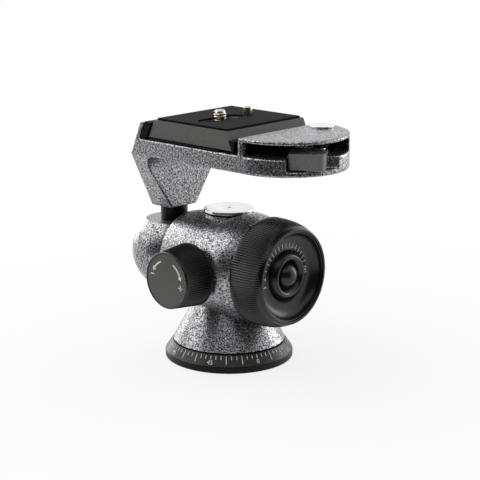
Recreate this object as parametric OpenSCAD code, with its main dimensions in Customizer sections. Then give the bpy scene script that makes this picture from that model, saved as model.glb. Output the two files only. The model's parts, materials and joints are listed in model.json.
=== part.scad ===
// Ball head: a panning base, a barrel body with the ball on one side, and an arched
// platform that carries a quick-release clamp back over the pan axis.
// Millimetres, +Z up. The origin is on the tripod face at the pan axis, +X runs along
// the barrel towards the tilt-lock knob, and -Y towards the pan-lock knob.

/* [Base] */
// Outer diameter of the base
base_d = 65; // [62:0.5:72]
// Height of the straight black wall
base_wall_h = 3.4; // [3:0.1:5]
// Height of the graduated bevel
scale_h = 5.3; // [4.6:0.1:7]
// Diameter at the top of the graduated bevel
scale_top_d = 57.6; // [55:0.2:60]
// How far the rubber ring stands out below the base plate
pad_proud = 0.3; // [0.2:0.1:0.6]
// Thickness of the rubber ring
pad_t = 1.5; // [1.2:0.1:2]
// Diameter of the tripod thread
tripod_thread_d = 9.525; // [6.35:0.005:9.525]
// Depth of the tripod thread
tripod_thread_depth = 12; // [9:0.5:16]
// Diameter of the base screws
base_screw_d = 4; // [3:0.5:5]

/* [Pan bearing] */
// Diameter of the pan spindle
spindle_d = 16; // [14:0.5:18]
// Diameter of the spindle flange
flange_d = 44; // [40:1:48]
// Thickness of the spindle flange
flange_h = 3.5; // [3:0.1:4.4]
// Thickness of the thrust washer
washer_t = 1.2; // [0.8:0.1:1.2]
// Wall of the pan bushes
bush_wall = 2; // [1.5:0.1:2.5]
// Gap between the graduated ring and the turning body
pan_gap = 0.7; // [0.5:0.1:1.2]
// Height of the spindle nut
nut_h = 4.2; // [3.5:0.1:5]
// Width across the flats of the spindle nut
nut_flats = 16; // [14:0.5:17]

/* [Body] */
// Height of the barrel axis
axis_z = 49; // [47:0.5:52]
// Diameter at the foot of the cone
cone_d = 56.8; // [54:0.2:57.4]
// Half angle of the cone
cone_angle = 28.4; // [26:0.2:30]
// Largest diameter of the barrel
barrel_d = 54.4; // [52:0.2:58]
// Width of the barrel's rim round the ball
mouth_rim = 0.7; // [0.5:0.1:1.2]
// Diameter at the knob end of the barrel
knob_end_d = 45; // [42:0.5:48]
// Distance from the pan axis to the ball end of the barrel
mouth_x = 27.8; // [27:0.1:28.4]
// Distance from the pan axis to the knob end of the barrel
knob_end_x = 24.4; // [23.5:0.1:26]
// Place of the largest diameter along the barrel
barrel_peak_x = 10; // [5:0.5:13]
// Height of the top of the cap
cap_top_z = 77; // [76:0.1:79]
// Diameter of the cap
cap_d = 25.2; // [24.8:0.1:27]
// Thickness of the cap's rim
cap_h = 1.6; // [1.2:0.1:2]
// Thickness of the seal under the cap
seal_h = 0.9; // [0.6:0.1:1.2]

/* [Ball] */
// Diameter of the ball
ball_d = 44; // [43:0.2:45]
// Distance from the pan axis to the ball centre
ball_x = 39; // [38:0.1:39.5]
// Wall of the hollow ball
ball_wall = 4.8; // [4.4:0.1:5.2]
// Height of the flat under the neck, above the ball centre
ball_flat = 16.4; // [16:0.1:17.4]
// Diameter of the neck
neck_d = 14; // [12:0.1:14.4]
// Length of the neck that shows
neck_h = 7.4; // [7:0.1:9]
// Diameter of the neck's spigots
spigot_d = 8.5; // [8:0.5:10]
// Length of the spigot in the platform's leg
spigot_h = 11; // [9:0.5:13]
// Diameter of the clamp rod
rod_d = 9; // [7:0.5:9]
// How far the ball can lean in over the body, in degrees
lean_in = 3; // [0:1:3]

/* [Ball lock] */
// Diameter of the lock piston
piston_d = 28; // [26.5:0.5:29]
// Diameter of the lock stud
lock_stud_d = 10; // [8:0.5:10]
// Thickness of the end cover
end_cover_t = 6; // [5:0.2:7]
// Diameter of the end cover
end_cover_d = 38; // [37:0.5:39]
// Thickness of one disc spring
disc_spring_t = 0.8; // [0.5:0.1:0.8]
// Diameter of the disc springs
disc_spring_d = 24; // [20:0.5:26]

/* [Tilt-lock knob] */
// Largest diameter of the tilt-lock knob
tilt_knob_d = 54; // [52:0.5:60]
// Diameter of its front rim
tilt_rim_d = 47.4; // [46:0.2:48]
// Length of the tilt-lock knob
tilt_knob_l = 17.9; // [17:0.1:21]
// Depth of the dish below the rim
dish_depth = 6; // [5:0.1:7]
// Height of the raised ring in the dish
dish_ring_h = 4; // [3:0.1:4.5]
// Diameter of the dome in the middle
dome_d = 12.8; // [11:0.2:13.2]
// Height of the dome
dome_h = 5; // [4:0.1:5.5]

/* [Pan-lock knob] */
// Height of the pan-lock knob's axis
pan_knob_z = 48; // [47:0.5:50]
// Diameter at the back of the pan-lock knob
pan_knob_d = 31.6; // [30:0.2:33]
// Diameter at its face
pan_face_d = 28; // [27:0.2:29]
// Length of the pan-lock knob
pan_knob_l = 16.8; // [15:0.2:19]
// Diameter of the pan-lock stud
pan_stud_d = 6; // [5:0.5:8]
// How far the shoe backs off when the knob is loosened
shoe_travel = 0.8; // [0.4:0.1:1]

/* [Platform] */
// Width of the platform
platform_w = 59.4; // [57.8:0.2:62]
// Height of the platform's underside
bed_z = 103.4; // [101:0.2:106]
// Thickness of the bed
bed_h = 8.3; // [7.6:0.1:9]
// Height of the lip and the lever end above the bed
lip_h = 8.5; // [8.2:0.1:9.2]
// Thickness of the leg along the barrel
leg_t = 14.7; // [14:0.1:16]
// Width of the leg at its foot
leg_foot_w = 18; // [17:0.2:20]
// How far the leg leans towards the pan axis on its way up
leg_lean = 6.9; // [6:0.1:8]
// Radius of the hollow where the leg meets the bed
leg_fillet = 8.5; // [6:0.5:10]
// Distance from the pan axis to the straight side of the lever end
end_x = 33; // [33:0.1:34]
// Distance from the pan axis to the middle of the lever end's round
end_mid_x = 38; // [37.5:0.5:39]
// Height of the slot for the lever
slot_h = 6.5; // [6.1:0.1:6.8]
// Thickness of the cover over the lever
cover_t = 1.9; // [1.6:0.1:2.2]

/* [Clamp lever] */
// Place of the lever's pivot along the barrel
pivot_x = 42.4; // [42:0.1:42.8]
// Place of the lever's pivot across the barrel
pivot_y = 20.3; // [19.8:0.1:20.5]
// Diameter of the polished pivot disc
pivot_disc_d = 12.2; // [11:0.1:13]
// Diameter of the pivot pin
pivot_pin_d = 4.6; // [4:0.1:5]
// Angle of the closed lever, clockwise from the barrel's direction
lever_angle = 56.6; // [54:0.2:59]
// Distance from the pivot to the end of the finger tab
lever_l = 41; // [40:0.1:42.5]
// How far the lever swings open, in degrees
lever_open = 29; // [25:1:29]
// Width of the finger tab
tab_w = 17; // [15:0.2:18]
// Height of the finger tab
tab_h = 7.9; // [7:0.1:8.2]
// Depth of the part of the tab that hangs down
tab_t = 10; // [9:0.1:10.4]
// Thickness of the lever's arm
arm_t = 2.2; // [2:0.1:2.6]
// Diameter of the rivet on the lever
rivet_d = 7; // [5:0.1:7.4]
// How far the moving jaw opens
jaw_travel = 2.6; // [2:0.1:2.6]

/* [Camera plate] */
// Width of the plate's underside across the clamp
plate_w = 56; // [55.4:0.1:56.4]
// Length of the plate along the clamp
plate_l = 56.4; // [52:0.2:58]
// Width of the plate's top across the clamp
plate_top_w = 48; // [47:0.1:49]
// Thickness of the metal plate
plate_h = 8.7; // [8.5:0.1:9.2]
// Thickness of the rubber pad on the plate
plate_pad_t = 1.1; // [0.8:0.1:1.6]
// Thickness of the liner on the bed
liner_t = 1; // [0.8:0.1:1.2]
// Diameter of the camera screw
camera_screw_d = 6.35; // [6.35:3.175:9.525]
// How far the camera screw stands out of the pad
camera_screw_out = 4.3; // [3.8:0.1:5.5]
// Place of the camera screw along the clamp
camera_screw_y = -6.5; // [-8:0.5:-4]
// Diameter of the video pin
video_pin_d = 4.4; // [4:0.1:4.6]
// How far the video pin stands out of the pad
video_pin_out = 4; // [3.6:0.1:4.4]
// Place of the video pin across the clamp
video_pin_x = 2.4; // [1.6:0.1:3]
// Place of the video pin along the clamp
video_pin_y = 11; // [10:0.1:13]

/* [Hidden] */
$fn = 96;
eps = 0.5;
run_fit = 0.05;
face_gap = 0.3;
ball_gap = 0.25;
mouth_gap = 1.8;
guide_gap = 0.3;
curve_steps = 8;
hex_sides = 6;

// Base stack
plate_z0 = pad_proud;
plate_z1 = plate_z0 + base_wall_h;
ring_z1 = plate_z1 + scale_h;
flange_z1 = plate_z1 + flange_h;
washer_z1 = flange_z1 + washer_t;
hub_z0 = washer_z1 + face_gap;
cone_z0 = ring_z1 + pan_gap;
base_r = base_d / 2;
base_edge = 0.5;
pad_r0 = 20.5;
pad_inset = 3;
pad_r1 = base_r - pad_inset;
spindle_r = spindle_d / 2;
spindle_hole_r = spindle_r + run_fit;
flange_r = flange_d / 2;
flange_fit_r = flange_r + run_fit;
washer_inset = 1.5;
base_screw_r = base_screw_d / 2;
base_screw_at = 15;
base_screw_count = 3;
base_screw_head_r = base_screw_d;
base_screw_sunk = 0.2;
base_screw_end = 1;
base_hole_end = 0.6;
base_key_share = 0.7;
base_key_r = base_key_share * base_screw_r;
base_key_depth = 1.2;

// Ball and mouth
ball_r = ball_d / 2;
ball_in_r = ball_r - ball_wall;
mouth_cut_r = ball_r + mouth_gap;
mouth_r = sqrt(pow(mouth_cut_r, 2) - pow(ball_x - mouth_x, 2)) + mouth_rim;
seat_in_r = ball_r + ball_gap;
seat_r = 18.5;
seat_edge = 0.8;
seat_t = 6;
seat_x0 = ball_x - sqrt(pow(seat_in_r, 2) - pow(seat_r - seat_edge, 2));
seat_x1 = seat_x0 - seat_t;
seat_back = 0.2;
seat_lead = 1.2;
seat_hole_r = 10;
web_t = 5;
web_x = seat_x1 - web_t;
web_hole_r = 11.8;

// Body
cone_r = cone_d / 2;
cone_rise = 12;
cone_top_z = axis_z - cone_rise;
cone_wall = 4.5;
cone_hollow_h = 12;
cone_hollow_z = cone_z0 + cone_hollow_h;
bush_r = spindle_r + bush_wall;
hub_wall = 3;
hub_r = bush_r + hub_wall;
barrel_r = barrel_d / 2;
knob_end_r = knob_end_d / 2;
boss_top_z = cap_top_z - cap_h - seal_h;
cap_r = cap_d / 2;
cap_gap = 0.5;
boss_r = cap_r - face_gap;
nut_r = nut_flats / 2 / cos(180 / hex_sides);
nut_pocket_wall = 1.3;
nut_pocket_r = boss_r - nut_pocket_wall;
spindle_washer_t = 1;
spindle_shoulder = 3;
spindle_thread_r = spindle_r - spindle_shoulder;
nut_slack = 0.5;
nut_headroom = 1.6;
nut_floor_z = boss_top_z - (face_gap + spindle_washer_t + nut_h + nut_slack + nut_headroom);
shoulder_z = nut_floor_z + face_gap;
spindle_washer_z1 = shoulder_z + spindle_washer_t;
nut_z1 = spindle_washer_z1 + nut_h;
cap_skirt_h = 1;
cap_skirt_wall = 1;
cap_skirt_r = nut_pocket_r - 2 * run_fit;
seal_inset = 0.2;
dimple_r = 0.9;
dimple_h = 0.7;

// Ball lock
piston_r = piston_d / 2;
piston_bore_r = piston_r + run_fit;
piston_end_gap = 1.4;
piston_x0 = web_x - piston_end_gap;
bush_floor = 3;
lower_bush_z1 = axis_z - piston_r - bush_floor;
upper_bush_z0 = axis_z + piston_r + face_gap;
end_cover_r = end_cover_d / 2;
end_cover_sunk = 0.2;
end_cover_x1 = knob_end_x - end_cover_sunk;
end_cover_x0 = end_cover_x1 - end_cover_t;
disc_spring_r = disc_spring_d / 2;
disc_spring_count = 2;
piston_x1 = end_cover_x0 - disc_spring_count * disc_spring_t - face_gap;
cross_bore_gap = 1.6;
cross_bore_r = spindle_r + cross_bore_gap;
piston_hub_r = 7;
piston_hub_l = 2.4;
rod_r = rod_d / 2;
rod_step = 1;
rod_end_gap = 0.4;
rod_x1 = -cross_bore_r - rod_end_gap;
head_r = ball_in_r - ball_gap;
head_cut = 10;
slot_gap = 0.7;
slot_r = rod_r + slot_gap;
slot_over = 2;
plug_gap = 0.5;
plug_r = sqrt(pow(head_r, 2) - pow(head_cut, 2)) + plug_gap;
lock_stud_r = lock_stud_d / 2;
lock_stud_x0 = cross_bore_r + rod_end_gap;
stud_gap = 0.4;
stud_end_gap = 0.8;
cover_flange = end_cover_r - piston_bore_r;
cover_screw_share = 0.25;
cover_head_share = 0.45;
cover_screw_in = 0.4;
cover_screw_r = cover_screw_share * cover_flange;
cover_screw_head_r = cover_head_share * cover_flange;
cover_screw_at = piston_bore_r + cover_screw_in * cover_flange;
cover_screw_count = 3;
cover_screw_start = 30;
cover_screw_l = 4.6;
cover_hole_l = 5;
cover_head_h = 1.8;
cover_head_sunk = 0.2;
cover_key_share = 0.8;
cover_key_r = cover_key_share * cover_screw_r;
cover_key_depth = 1.2;
knob_washer_t = 0.8;
knob_washer_margin = 1.6;
neck_z0 = axis_z + ball_flat;
neck_z1 = neck_z0 + neck_h;
neck_r = neck_d / 2;
spigot_r = spigot_d / 2;
neck_boss_wall = 3.5;
neck_boss_r = spigot_r + neck_boss_wall;
neck_boss_rise = 11;
neck_boss_z = axis_z + neck_boss_rise;

// Tilt-lock knob
tilt_gap = 0.9;
tilt_x0 = knob_end_x + tilt_gap;
tilt_x1 = tilt_x0 + tilt_knob_l;
tilt_r = tilt_knob_d / 2;
tilt_rim_r = tilt_rim_d / 2;
tilt_rim_t = 1.3;
knob_edge = 0.5;
dial_r = tilt_rim_r - tilt_rim_t;
dial_t = 1.8;
dial_sunk = 0.6;
dial_lip = 0.5;
dish_x = tilt_x1 - dish_depth;
dial_back_x = dish_x - dial_t;
tilt_web_t = 4;
tilt_hub_r = 13;
tilt_shell_step = 0.6;
tilt_shell_in_r = dial_r - tilt_shell_step;
tilt_nut_wall = 3;
tilt_nut_r = lock_stud_r + tilt_nut_wall;
tilt_nut_flange = 2.4;
tilt_nut_flange_r = tilt_nut_r + tilt_nut_flange;
tilt_nut_flange_t = 1.5;
dome_r = dome_d / 2;
dome_seat_h = 0.9;
dome_seat_x = dish_x + dome_seat_h;
dome_sphere_r = (pow(dome_r, 2) + pow(dome_h, 2)) / (2 * dome_h);
dome_gap = 0.5;
ring_in_r = dome_r + dome_gap;
ring_w = 5.2;
ring_out_r = ring_in_r + ring_w;
ring_sweep = 167;
dish_fillet = 4;
dish_wall_r = dial_r - dish_fillet;

// Pan-lock knob
pan_r = pan_knob_d / 2;
pan_face_r = pan_face_d / 2;
pan_seat_proud = 0.2;
pan_seat_y = barrel_r + pan_seat_proud;
pan_y0 = pan_seat_y + face_gap;
pan_y1 = pan_y0 + pan_knob_l;
pan_boss_r = 11;
pan_stud_r = pan_stud_d / 2;
pan_bush_wall = 3;
pan_bush_r = pan_stud_r + pan_bush_wall;
pan_bush_gap = 0.8;
pan_bush_y0 = piston_r + pan_bush_gap;
pan_rim_t = 0.7;
pan_rim_edge = 0.4;
pan_disc_r = pan_face_r - pan_rim_t;
pan_disc_t = 1.4;
pan_disc_sunk = 0.2;
shoe_r = 4;
shoe_t = 4;
shoe_gap = 0.2;
shoe_y0 = spindle_r + shoe_gap;
shoe_y1 = shoe_y0 + shoe_t;
pan_stud_y0 = shoe_y1 + shoe_travel + shoe_gap;
shoe_room = 0.8;
pan_hole_r = shoe_r + shoe_room;

// Platform
half_w = platform_w / 2;
bed_z1 = bed_z + bed_h;
leg_z0 = neck_z1;
leg_x0 = ball_x + leg_t / 2;
leg_x1 = ball_x - leg_t / 2;
lip_x0 = leg_x0 - leg_lean;
lip_z1 = bed_z1 + lip_h;
lip_lean = 6.9;
lip_t = 2.6;
lip_foot = 5.6;
lip_base = 8;
bed_in = 4.5;
join_h = 1;
end_r = half_w;
slot_z0 = lip_z1 - cover_t - slot_h;
slot_z1 = lip_z1 - cover_t;
slot_in = 2.3;
slot_x = end_x + slot_in;
lever_hub_wall = 2.9;
hub_r_lever = pivot_pin_d / 2 + lever_hub_wall;
pillar_y = pivot_y + hub_r_lever + face_gap;
pivot_floor = 2;
pivot_end_gap = 0.2;
grub_r = 2;
grub_up = 4;
grub_z = leg_z0 + grub_up;
grub_sunk = 0.3;
grub_l = leg_x0 - leg_lean * grub_up / (bed_z - leg_z0) - grub_sunk - ball_x - spigot_r - face_gap;
grub_key_r = 1;
grub_key_share = 0.6;
grub_key_depth = grub_key_share * grub_l;

// Clamp
plate_z = bed_z1 + liner_t + face_gap;
plate_top_z = plate_z + plate_h;
pad_top_z = plate_top_z + plate_pad_t;
plate_slope = (plate_w - plate_top_w) / 2 / plate_h;
plate_grip_x = plate_w / 2 + guide_gap;
liner_x0 = 26.4;
liner_x1 = 20.6;
liner_inset = 0.6;
liner_end_gap = 0.2;
strip_inset = 1;
strip_toe = 1.5;
strip_proud = 0.4;
strip_lap = 0.3;
jaw_z0 = max(slot_z0, bed_z1) + face_gap;
jaw_top_gap = 0.4;
jaw_z1 = slot_z1 - jaw_top_gap;
jaw_depth = 2;
jaw_x1 = end_x + jaw_depth;
jaw_end_gap = 0.5;
jaw_half = pillar_y - jaw_end_gap;
jaw_bar_x1 = end_x - jaw_travel - face_gap;
jaw_bar_half = half_w - strip_inset;
nose_r = 1.8;
nose_lift = 0.5;
nose_at = hub_r_lever + jaw_travel + nose_lift - nose_r;
nose_edge = 1;
jaw_pad_x = pivot_x - nose_at - sqrt(pow(nose_r, 2) - pow(nose_edge, 2)) - ball_gap;
jaw_notch_depth = 2.4;
jaw_notch_x = jaw_pad_x - jaw_notch_depth;
jaw_notch_l = 4;
jaw_notch_y0 = pivot_y - hub_r_lever - jaw_notch_l;
arm_z0 = slot_z0 + face_gap;
arm_z1 = arm_z0 + arm_t;
arm_half = 4.4;
arm_flare = 22;
flare_l = 5;
arm_end = arm_flare + flare_l;
tab_z0 = arm_z1 - tab_h;
tab_r = 3.6;
tab_edge = 1.2;
tab_side = 2.6;
tab_y0 = -tab_w / 2 - tab_side;
tab_y1 = tab_w / 2 - tab_side;
tab_in_r = lever_l - tab_t;
relief_gap = 0.5;
relief_r = tab_in_r - relief_gap;
relief_side = 0.6;
relief_drop = 0.4;
relief_z = tab_z0 - relief_drop;
relief_over = 8;
rivet_at = 25;
rivet_side = 1.2;
rivet_step = 1;
rivet_seat = 0.4;
rivet_h = 0.5;
pivot_disc_h = 1;
spring_wire = 0.6;
spring_turns = 1.5;
spring_gap = 0.2;

// Camera plate
screw_r = camera_screw_d / 2;
screw_shank_step = 0.5;
screw_shank_r = screw_r - screw_shank_step;
screw_head_r = 6;
screw_head_h = 2.2;
screw_head_sunk = 0.6;
screw_head_z = plate_z + screw_head_sunk;
coin_slot_w = 1.6;
coin_slot_depth = 1.2;
retainer_t = 0.7;
retainer_r = 5.4;
retainer_gap = 0.1;
pocket_gap = 0.4;
pocket_r = screw_head_r + pocket_gap;
pocket_room = 0.6;
pocket_z = screw_head_z + screw_head_h + retainer_t + pocket_room;
slot_before = 9.5;
slot_to_pin = 9.5;
slot_y0 = camera_screw_y - slot_before;
slot_y1 = video_pin_y - slot_to_pin;
screw_slot_r = screw_r + guide_gap;
pad_slot_gap = 1.2;
pad_slot_r = screw_r + pad_slot_gap;
pad_slot_more = 2.7;
pad_slot_y1 = slot_y1 + pad_slot_more;
pad_in_x = 0.7;
pad_in_y = 1.8;
pin_r = video_pin_d / 2;
pin_step = 0.5;
pin_shank_r = pin_r - pin_step;
pin_flange_lip = 0.7;
pin_flange_r = pin_r + pin_flange_lip;
pin_hole_r = pin_flange_r + 2 * run_fit;
pin_pad_gap = 0.4;
pin_plug_t = 0.8;
pin_plug_sunk = 0.2;
pin_plug_z = plate_z + pin_plug_sunk;
pin_flange_h = 1;
pin_flange_drop = 2.3;
pin_flange_z = plate_top_z - pin_flange_drop;
pin_room = 0.2;
pin_spring_wire = 0.5;
pin_spring_turns = 3;
pin_spring_inset = 0.2;

// Barrel radius at a place along the barrel: widest at the peak, falling away at both ends.
function barrel_at(x) = x < barrel_peak_x
  ? barrel_r - (barrel_r - mouth_r) * pow((barrel_peak_x - x) / (barrel_peak_x + mouth_x), 2)
  : barrel_r - (barrel_r - knob_end_r) * pow((x - barrel_peak_x) / (knob_end_x - barrel_peak_x), 3);

// Side view of the moving jaw, from the plate's edge back to a place.
function jaw_side(x) = [
  [plate_grip_x - plate_slope * (jaw_z0 - plate_z), jaw_z0], [x, jaw_z0],
  [x, jaw_z1], [plate_grip_x - plate_slope * (jaw_z1 - plate_z), jaw_z1]];

// Turns +Z onto +X, keeping the place along the axis.
module along_x() rotate([0, 90, 0]) children();

// Turns +Z onto -Y at the height of the pan-lock knob.
module along_pan() translate([0, 0, pan_knob_z]) rotate([90, 0, 0]) children();

// Moves to the barrel's axis, with +Z along the barrel.
module on_axis(x = 0) translate([x, 0, axis_z]) along_x() children();

// Moves to the ball's centre.
module at_ball() translate([-ball_x, 0, axis_z]) children();

// Moves to the lever's pivot, with +X along the closed lever.
module at_lever() translate([pivot_x, pivot_y, 0]) rotate([0, 0, -lever_angle]) children();

// Moves to the video pin's axis at a height.
module at_pin(z) translate([video_pin_x, video_pin_y, z]) children();

// Ring between two radii.
module ring(r1, r0, h) difference() {
  cylinder(h = h, r = r1);
  translate([0, 0, -eps]) cylinder(h = h + 2 * eps, r = r0);
}

// Places copies round the Z axis.
module around(count, at, start = 0)
  for (i = [0 : count - 1]) rotate([0, 0, start + i * 360 / count]) translate([at, 0, 0]) children();

// Round slot along Y with its ends at two places.
module slot_y(y0, y1, r, h) {
  translate([0, y0, 0]) cylinder(h = h, r = r);
  translate([0, y1, 0]) cylinder(h = h, r = r);
  translate([-r, y0, 0]) cube([2 * r, y1 - y0, h]);
}

// One unbroken coil with square wire, standing on Z = 0. Its least gap to itself is printed.
module coil(r, wire, turns, h) {
  n = 14;
  steps = n * turns;
  rise = (h - wire) / steps;
  w = wire / 2;
  last = steps * 4;
  corners = [[-w, 0], [w, 0], [w, wire], [-w, wire]];
  pts = [for (i = [0 : steps]) for (c = corners)
    [(r + c[0]) * cos(i * 360 / n), (r + c[0]) * sin(i * 360 / n), i * rise + c[1]]];
  sides = [for (i = [0 : steps - 1]) for (k = [0 : 3]) let (a = i * 4 + k, b = i * 4 + (k + 1) % 4)
    each [[a, b, b + 4], [a, b + 4, a + 4]]];
  echo(coil_gap = min([for (i = [n : steps]) pts[i * 4][2] - pts[(i - n) * 4 + 3][2]]));
  polyhedron(points = pts, faces = concat([[3, 2, 1], [3, 1, 0]], sides,
    [[last, last + 1, last + 2], [last, last + 2, last + 3]]));
}

module base_plate() color([0.07, 0.07, 0.07]) difference() {
  rotate_extrude() polygon([
    [spindle_hole_r, plate_z0], [base_r - base_edge, plate_z0], [base_r, plate_z0 + base_edge],
    [base_r, plate_z1], [spindle_hole_r, plate_z1]]);
  translate([0, 0, plate_z0 - eps]) ring(pad_r1, pad_r0, pad_t - pad_proud + eps);
  around(base_screw_count, base_screw_at) {
    translate([0, 0, plate_z0 - eps]) cylinder(h = base_wall_h + 2 * eps, r = base_screw_r + run_fit);
    translate([0, 0, plate_z0 - eps]) cylinder(h = base_screw_r + eps, r = base_screw_head_r + run_fit);
  }
}

module scale_ring() color([0.25, 0.25, 0.25]) rotate_extrude() polygon([
  [flange_fit_r, plate_z1], [base_r, plate_z1], [scale_top_d / 2, ring_z1], [flange_fit_r, ring_z1]]);

module base_pad() color([0.05, 0.05, 0.05]) ring(pad_r1, pad_r0, pad_t);

module pan_spindle() color([0.6, 0.6, 0.62]) difference() {
  union() {
    cylinder(h = shoulder_z, r = spindle_r);
    translate([0, 0, plate_z1]) cylinder(h = flange_h, r = flange_r);
    translate([0, 0, shoulder_z]) cylinder(h = nut_z1 + nut_slack - shoulder_z, r = spindle_thread_r);
  }
  translate([0, 0, -eps]) cylinder(h = tripod_thread_depth + eps, r = tripod_thread_d / 2);
  around(base_screw_count, base_screw_at)
    translate([0, 0, plate_z1 - eps])
      cylinder(h = flange_h - base_hole_end + eps, r = base_screw_r + run_fit);
}

module base_screws() color([0.5, 0.5, 0.5]) around(base_screw_count, base_screw_at) difference() {
  translate([0, 0, plate_z0 + base_screw_sunk]) {
    cylinder(h = flange_z1 - base_screw_end - plate_z0 - base_screw_sunk, r = base_screw_r);
    cylinder(h = base_screw_r - base_screw_sunk, r = base_screw_head_r);
  }
  cylinder(h = plate_z0 + base_key_depth, r = base_key_r, $fn = hex_sides);
}

module thrust_washer() color([0.85, 0.83, 0.78])
  translate([0, 0, flange_z1]) ring(flange_r - washer_inset, spindle_r + face_gap, washer_t);

module spindle_washer() color([0.7, 0.7, 0.72]) translate([0, 0, shoulder_z])
  ring(nut_pocket_r - 2 * face_gap, spindle_thread_r + run_fit, spindle_washer_t);

module spindle_nut() color([0.6, 0.6, 0.62]) translate([0, 0, spindle_washer_z1]) difference() {
  cylinder(h = nut_h, r = nut_r, $fn = hex_sides);
  translate([0, 0, -eps]) cylinder(h = nut_h + 2 * eps, r = spindle_thread_r + run_fit);
}

// Outside of the barrel, revolved about its axis.
module barrel_solid() {
  steps = 14;
  on_axis() rotate_extrude() polygon(concat([[0, -mouth_x]],
    [for (i = [0 : steps]) let (x = -mouth_x + i * (barrel_peak_x + mouth_x) / steps) [barrel_at(x), x]],
    [for (i = [1 : curve_steps])
      let (x = barrel_peak_x + i * (knob_end_x - barrel_peak_x) / curve_steps) [barrel_at(x), x]],
    [[0, knob_end_x]]));
}

// Room for the ball, its seat, the piston and the end cover.
module barrel_bore() {
  on_axis(-ball_x) sphere(r = mouth_cut_r);
  on_axis(-seat_x0 - seat_lead) cylinder(h = seat_t + seat_lead + seat_back, r = seat_r + run_fit);
  on_axis(-seat_x1 - eps) cylinder(h = web_t + 2 * eps, r = web_hole_r);
  on_axis(-web_x) cylinder(h = web_x + end_cover_x0, r = piston_bore_r);
  on_axis(end_cover_x0) cylinder(h = knob_end_x - end_cover_x0 + eps, r = end_cover_r + run_fit);
  on_axis(end_cover_x0 - cover_hole_l) around(cover_screw_count, cover_screw_at, cover_screw_start)
    cylinder(h = cover_hole_l + eps, r = cover_screw_r + run_fit);
}

// Upright bore for the pan spindle, its bushes and its nut.
module pan_bore() {
  translate([0, 0, hub_z0 - eps]) cylinder(h = boss_top_z - hub_z0, r = spindle_r + 2 * face_gap);
  translate([0, 0, hub_z0 - eps]) cylinder(h = lower_bush_z1 - hub_z0 + eps, r = bush_r);
  translate([0, 0, upper_bush_z0]) cylinder(h = nut_floor_z - upper_bush_z0 + eps, r = bush_r);
  translate([0, 0, nut_floor_z]) cylinder(h = boss_top_z - nut_floor_z + eps, r = nut_pocket_r);
  translate([0, 0, boss_top_z]) cylinder(h = barrel_r, r = cap_r + cap_gap);
  rotate_extrude() polygon([
    [hub_r, cone_z0 - eps], [cone_r - cone_wall, cone_z0 - eps], [cone_r - cone_wall, cone_z0],
    [cone_r - cone_wall - cone_hollow_h * tan(cone_angle), cone_hollow_z], [hub_r, cone_hollow_z]]);
}

module housing() color([0.6, 0.6, 0.62]) difference() {
  union() {
    barrel_solid();
    translate([0, 0, cone_z0]) cylinder(
      h = cone_top_z - cone_z0, r1 = cone_r, r2 = cone_r - (cone_top_z - cone_z0) * tan(cone_angle));
    translate([0, 0, hub_z0]) cylinder(h = cone_z0 - hub_z0 + eps, r = hub_r);
    translate([0, 0, axis_z]) cylinder(h = boss_top_z - axis_z, r = boss_r);
    along_pan() cylinder(h = pan_seat_y, r = pan_boss_r);
  }
  barrel_bore();
  pan_bore();
  along_pan() cylinder(h = pan_seat_y + eps, r = pan_bush_r);
}

module lower_bush() color([0.7, 0.5, 0.25])
  translate([0, 0, hub_z0]) ring(bush_r, spindle_hole_r, lower_bush_z1 - hub_z0);

module upper_bush() color([0.7, 0.5, 0.25])
  translate([0, 0, upper_bush_z0]) ring(bush_r, spindle_hole_r, nut_floor_z - upper_bush_z0);

module top_cap() color([0.85, 0.85, 0.86]) difference() {
  union() {
    translate([0, 0, boss_top_z + seal_h]) cylinder(h = cap_h, r = cap_r);
    translate([0, 0, boss_top_z - cap_skirt_h]) cylinder(h = cap_skirt_h + seal_h + eps, r = cap_skirt_r);
  }
  translate([0, 0, cap_top_z - dimple_h]) cylinder(h = dimple_h + eps, r = dimple_r);
  translate([0, 0, boss_top_z - cap_skirt_h - eps])
    cylinder(h = cap_skirt_h + eps, r = cap_skirt_r - cap_skirt_wall);
}

module cap_seal() color([0.05, 0.05, 0.05])
  translate([0, 0, boss_top_z]) ring(boss_r - seal_inset, cap_skirt_r + run_fit, seal_h);

module end_cover() color([0.3, 0.3, 0.3]) on_axis(end_cover_x0) difference() {
  cylinder(h = end_cover_t, r = end_cover_r);
  translate([0, 0, -eps]) cylinder(h = end_cover_t + 2 * eps, r = lock_stud_r + stud_gap);
  around(cover_screw_count, cover_screw_at, cover_screw_start) {
    translate([0, 0, -eps]) cylinder(h = end_cover_t + 2 * eps, r = cover_screw_r + run_fit);
    translate([0, 0, end_cover_t - cover_head_h - cover_head_sunk])
      cylinder(h = cover_head_h + cover_head_sunk + eps, r = cover_screw_head_r + run_fit);
  }
}

module cover_screws() color([0.5, 0.5, 0.5])
  on_axis(end_cover_x0) around(cover_screw_count, cover_screw_at, cover_screw_start) difference() {
    union() {
      translate([0, 0, -cover_screw_l])
        cylinder(h = cover_screw_l + end_cover_t - cover_head_h, r = cover_screw_r);
      translate([0, 0, end_cover_t - cover_head_h - cover_head_sunk])
        cylinder(h = cover_head_h, r = cover_screw_head_r);
    }
    translate([0, 0, end_cover_t - cover_head_sunk - cover_key_depth])
      cylinder(h = cover_key_depth + eps, r = cover_key_r, $fn = hex_sides);
  }

module pan_lock_bush() color([0.75, 0.6, 0.3])
  along_pan() translate([0, 0, pan_bush_y0])
    ring(pan_bush_r, pan_stud_r + run_fit, pan_seat_y - pan_bush_y0);

module disc_springs() color([0.6, 0.6, 0.62]) for (i = [1 : disc_spring_count])
  on_axis(end_cover_x0 - i * disc_spring_t)
    ring(disc_spring_r, lock_stud_r + stud_gap, disc_spring_t - run_fit);

module knob_washer() color([0.7, 0.5, 0.25]) on_axis(end_cover_x1)
  ring(tilt_nut_flange_r + knob_washer_margin, lock_stud_r + stud_gap, knob_washer_t);

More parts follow.
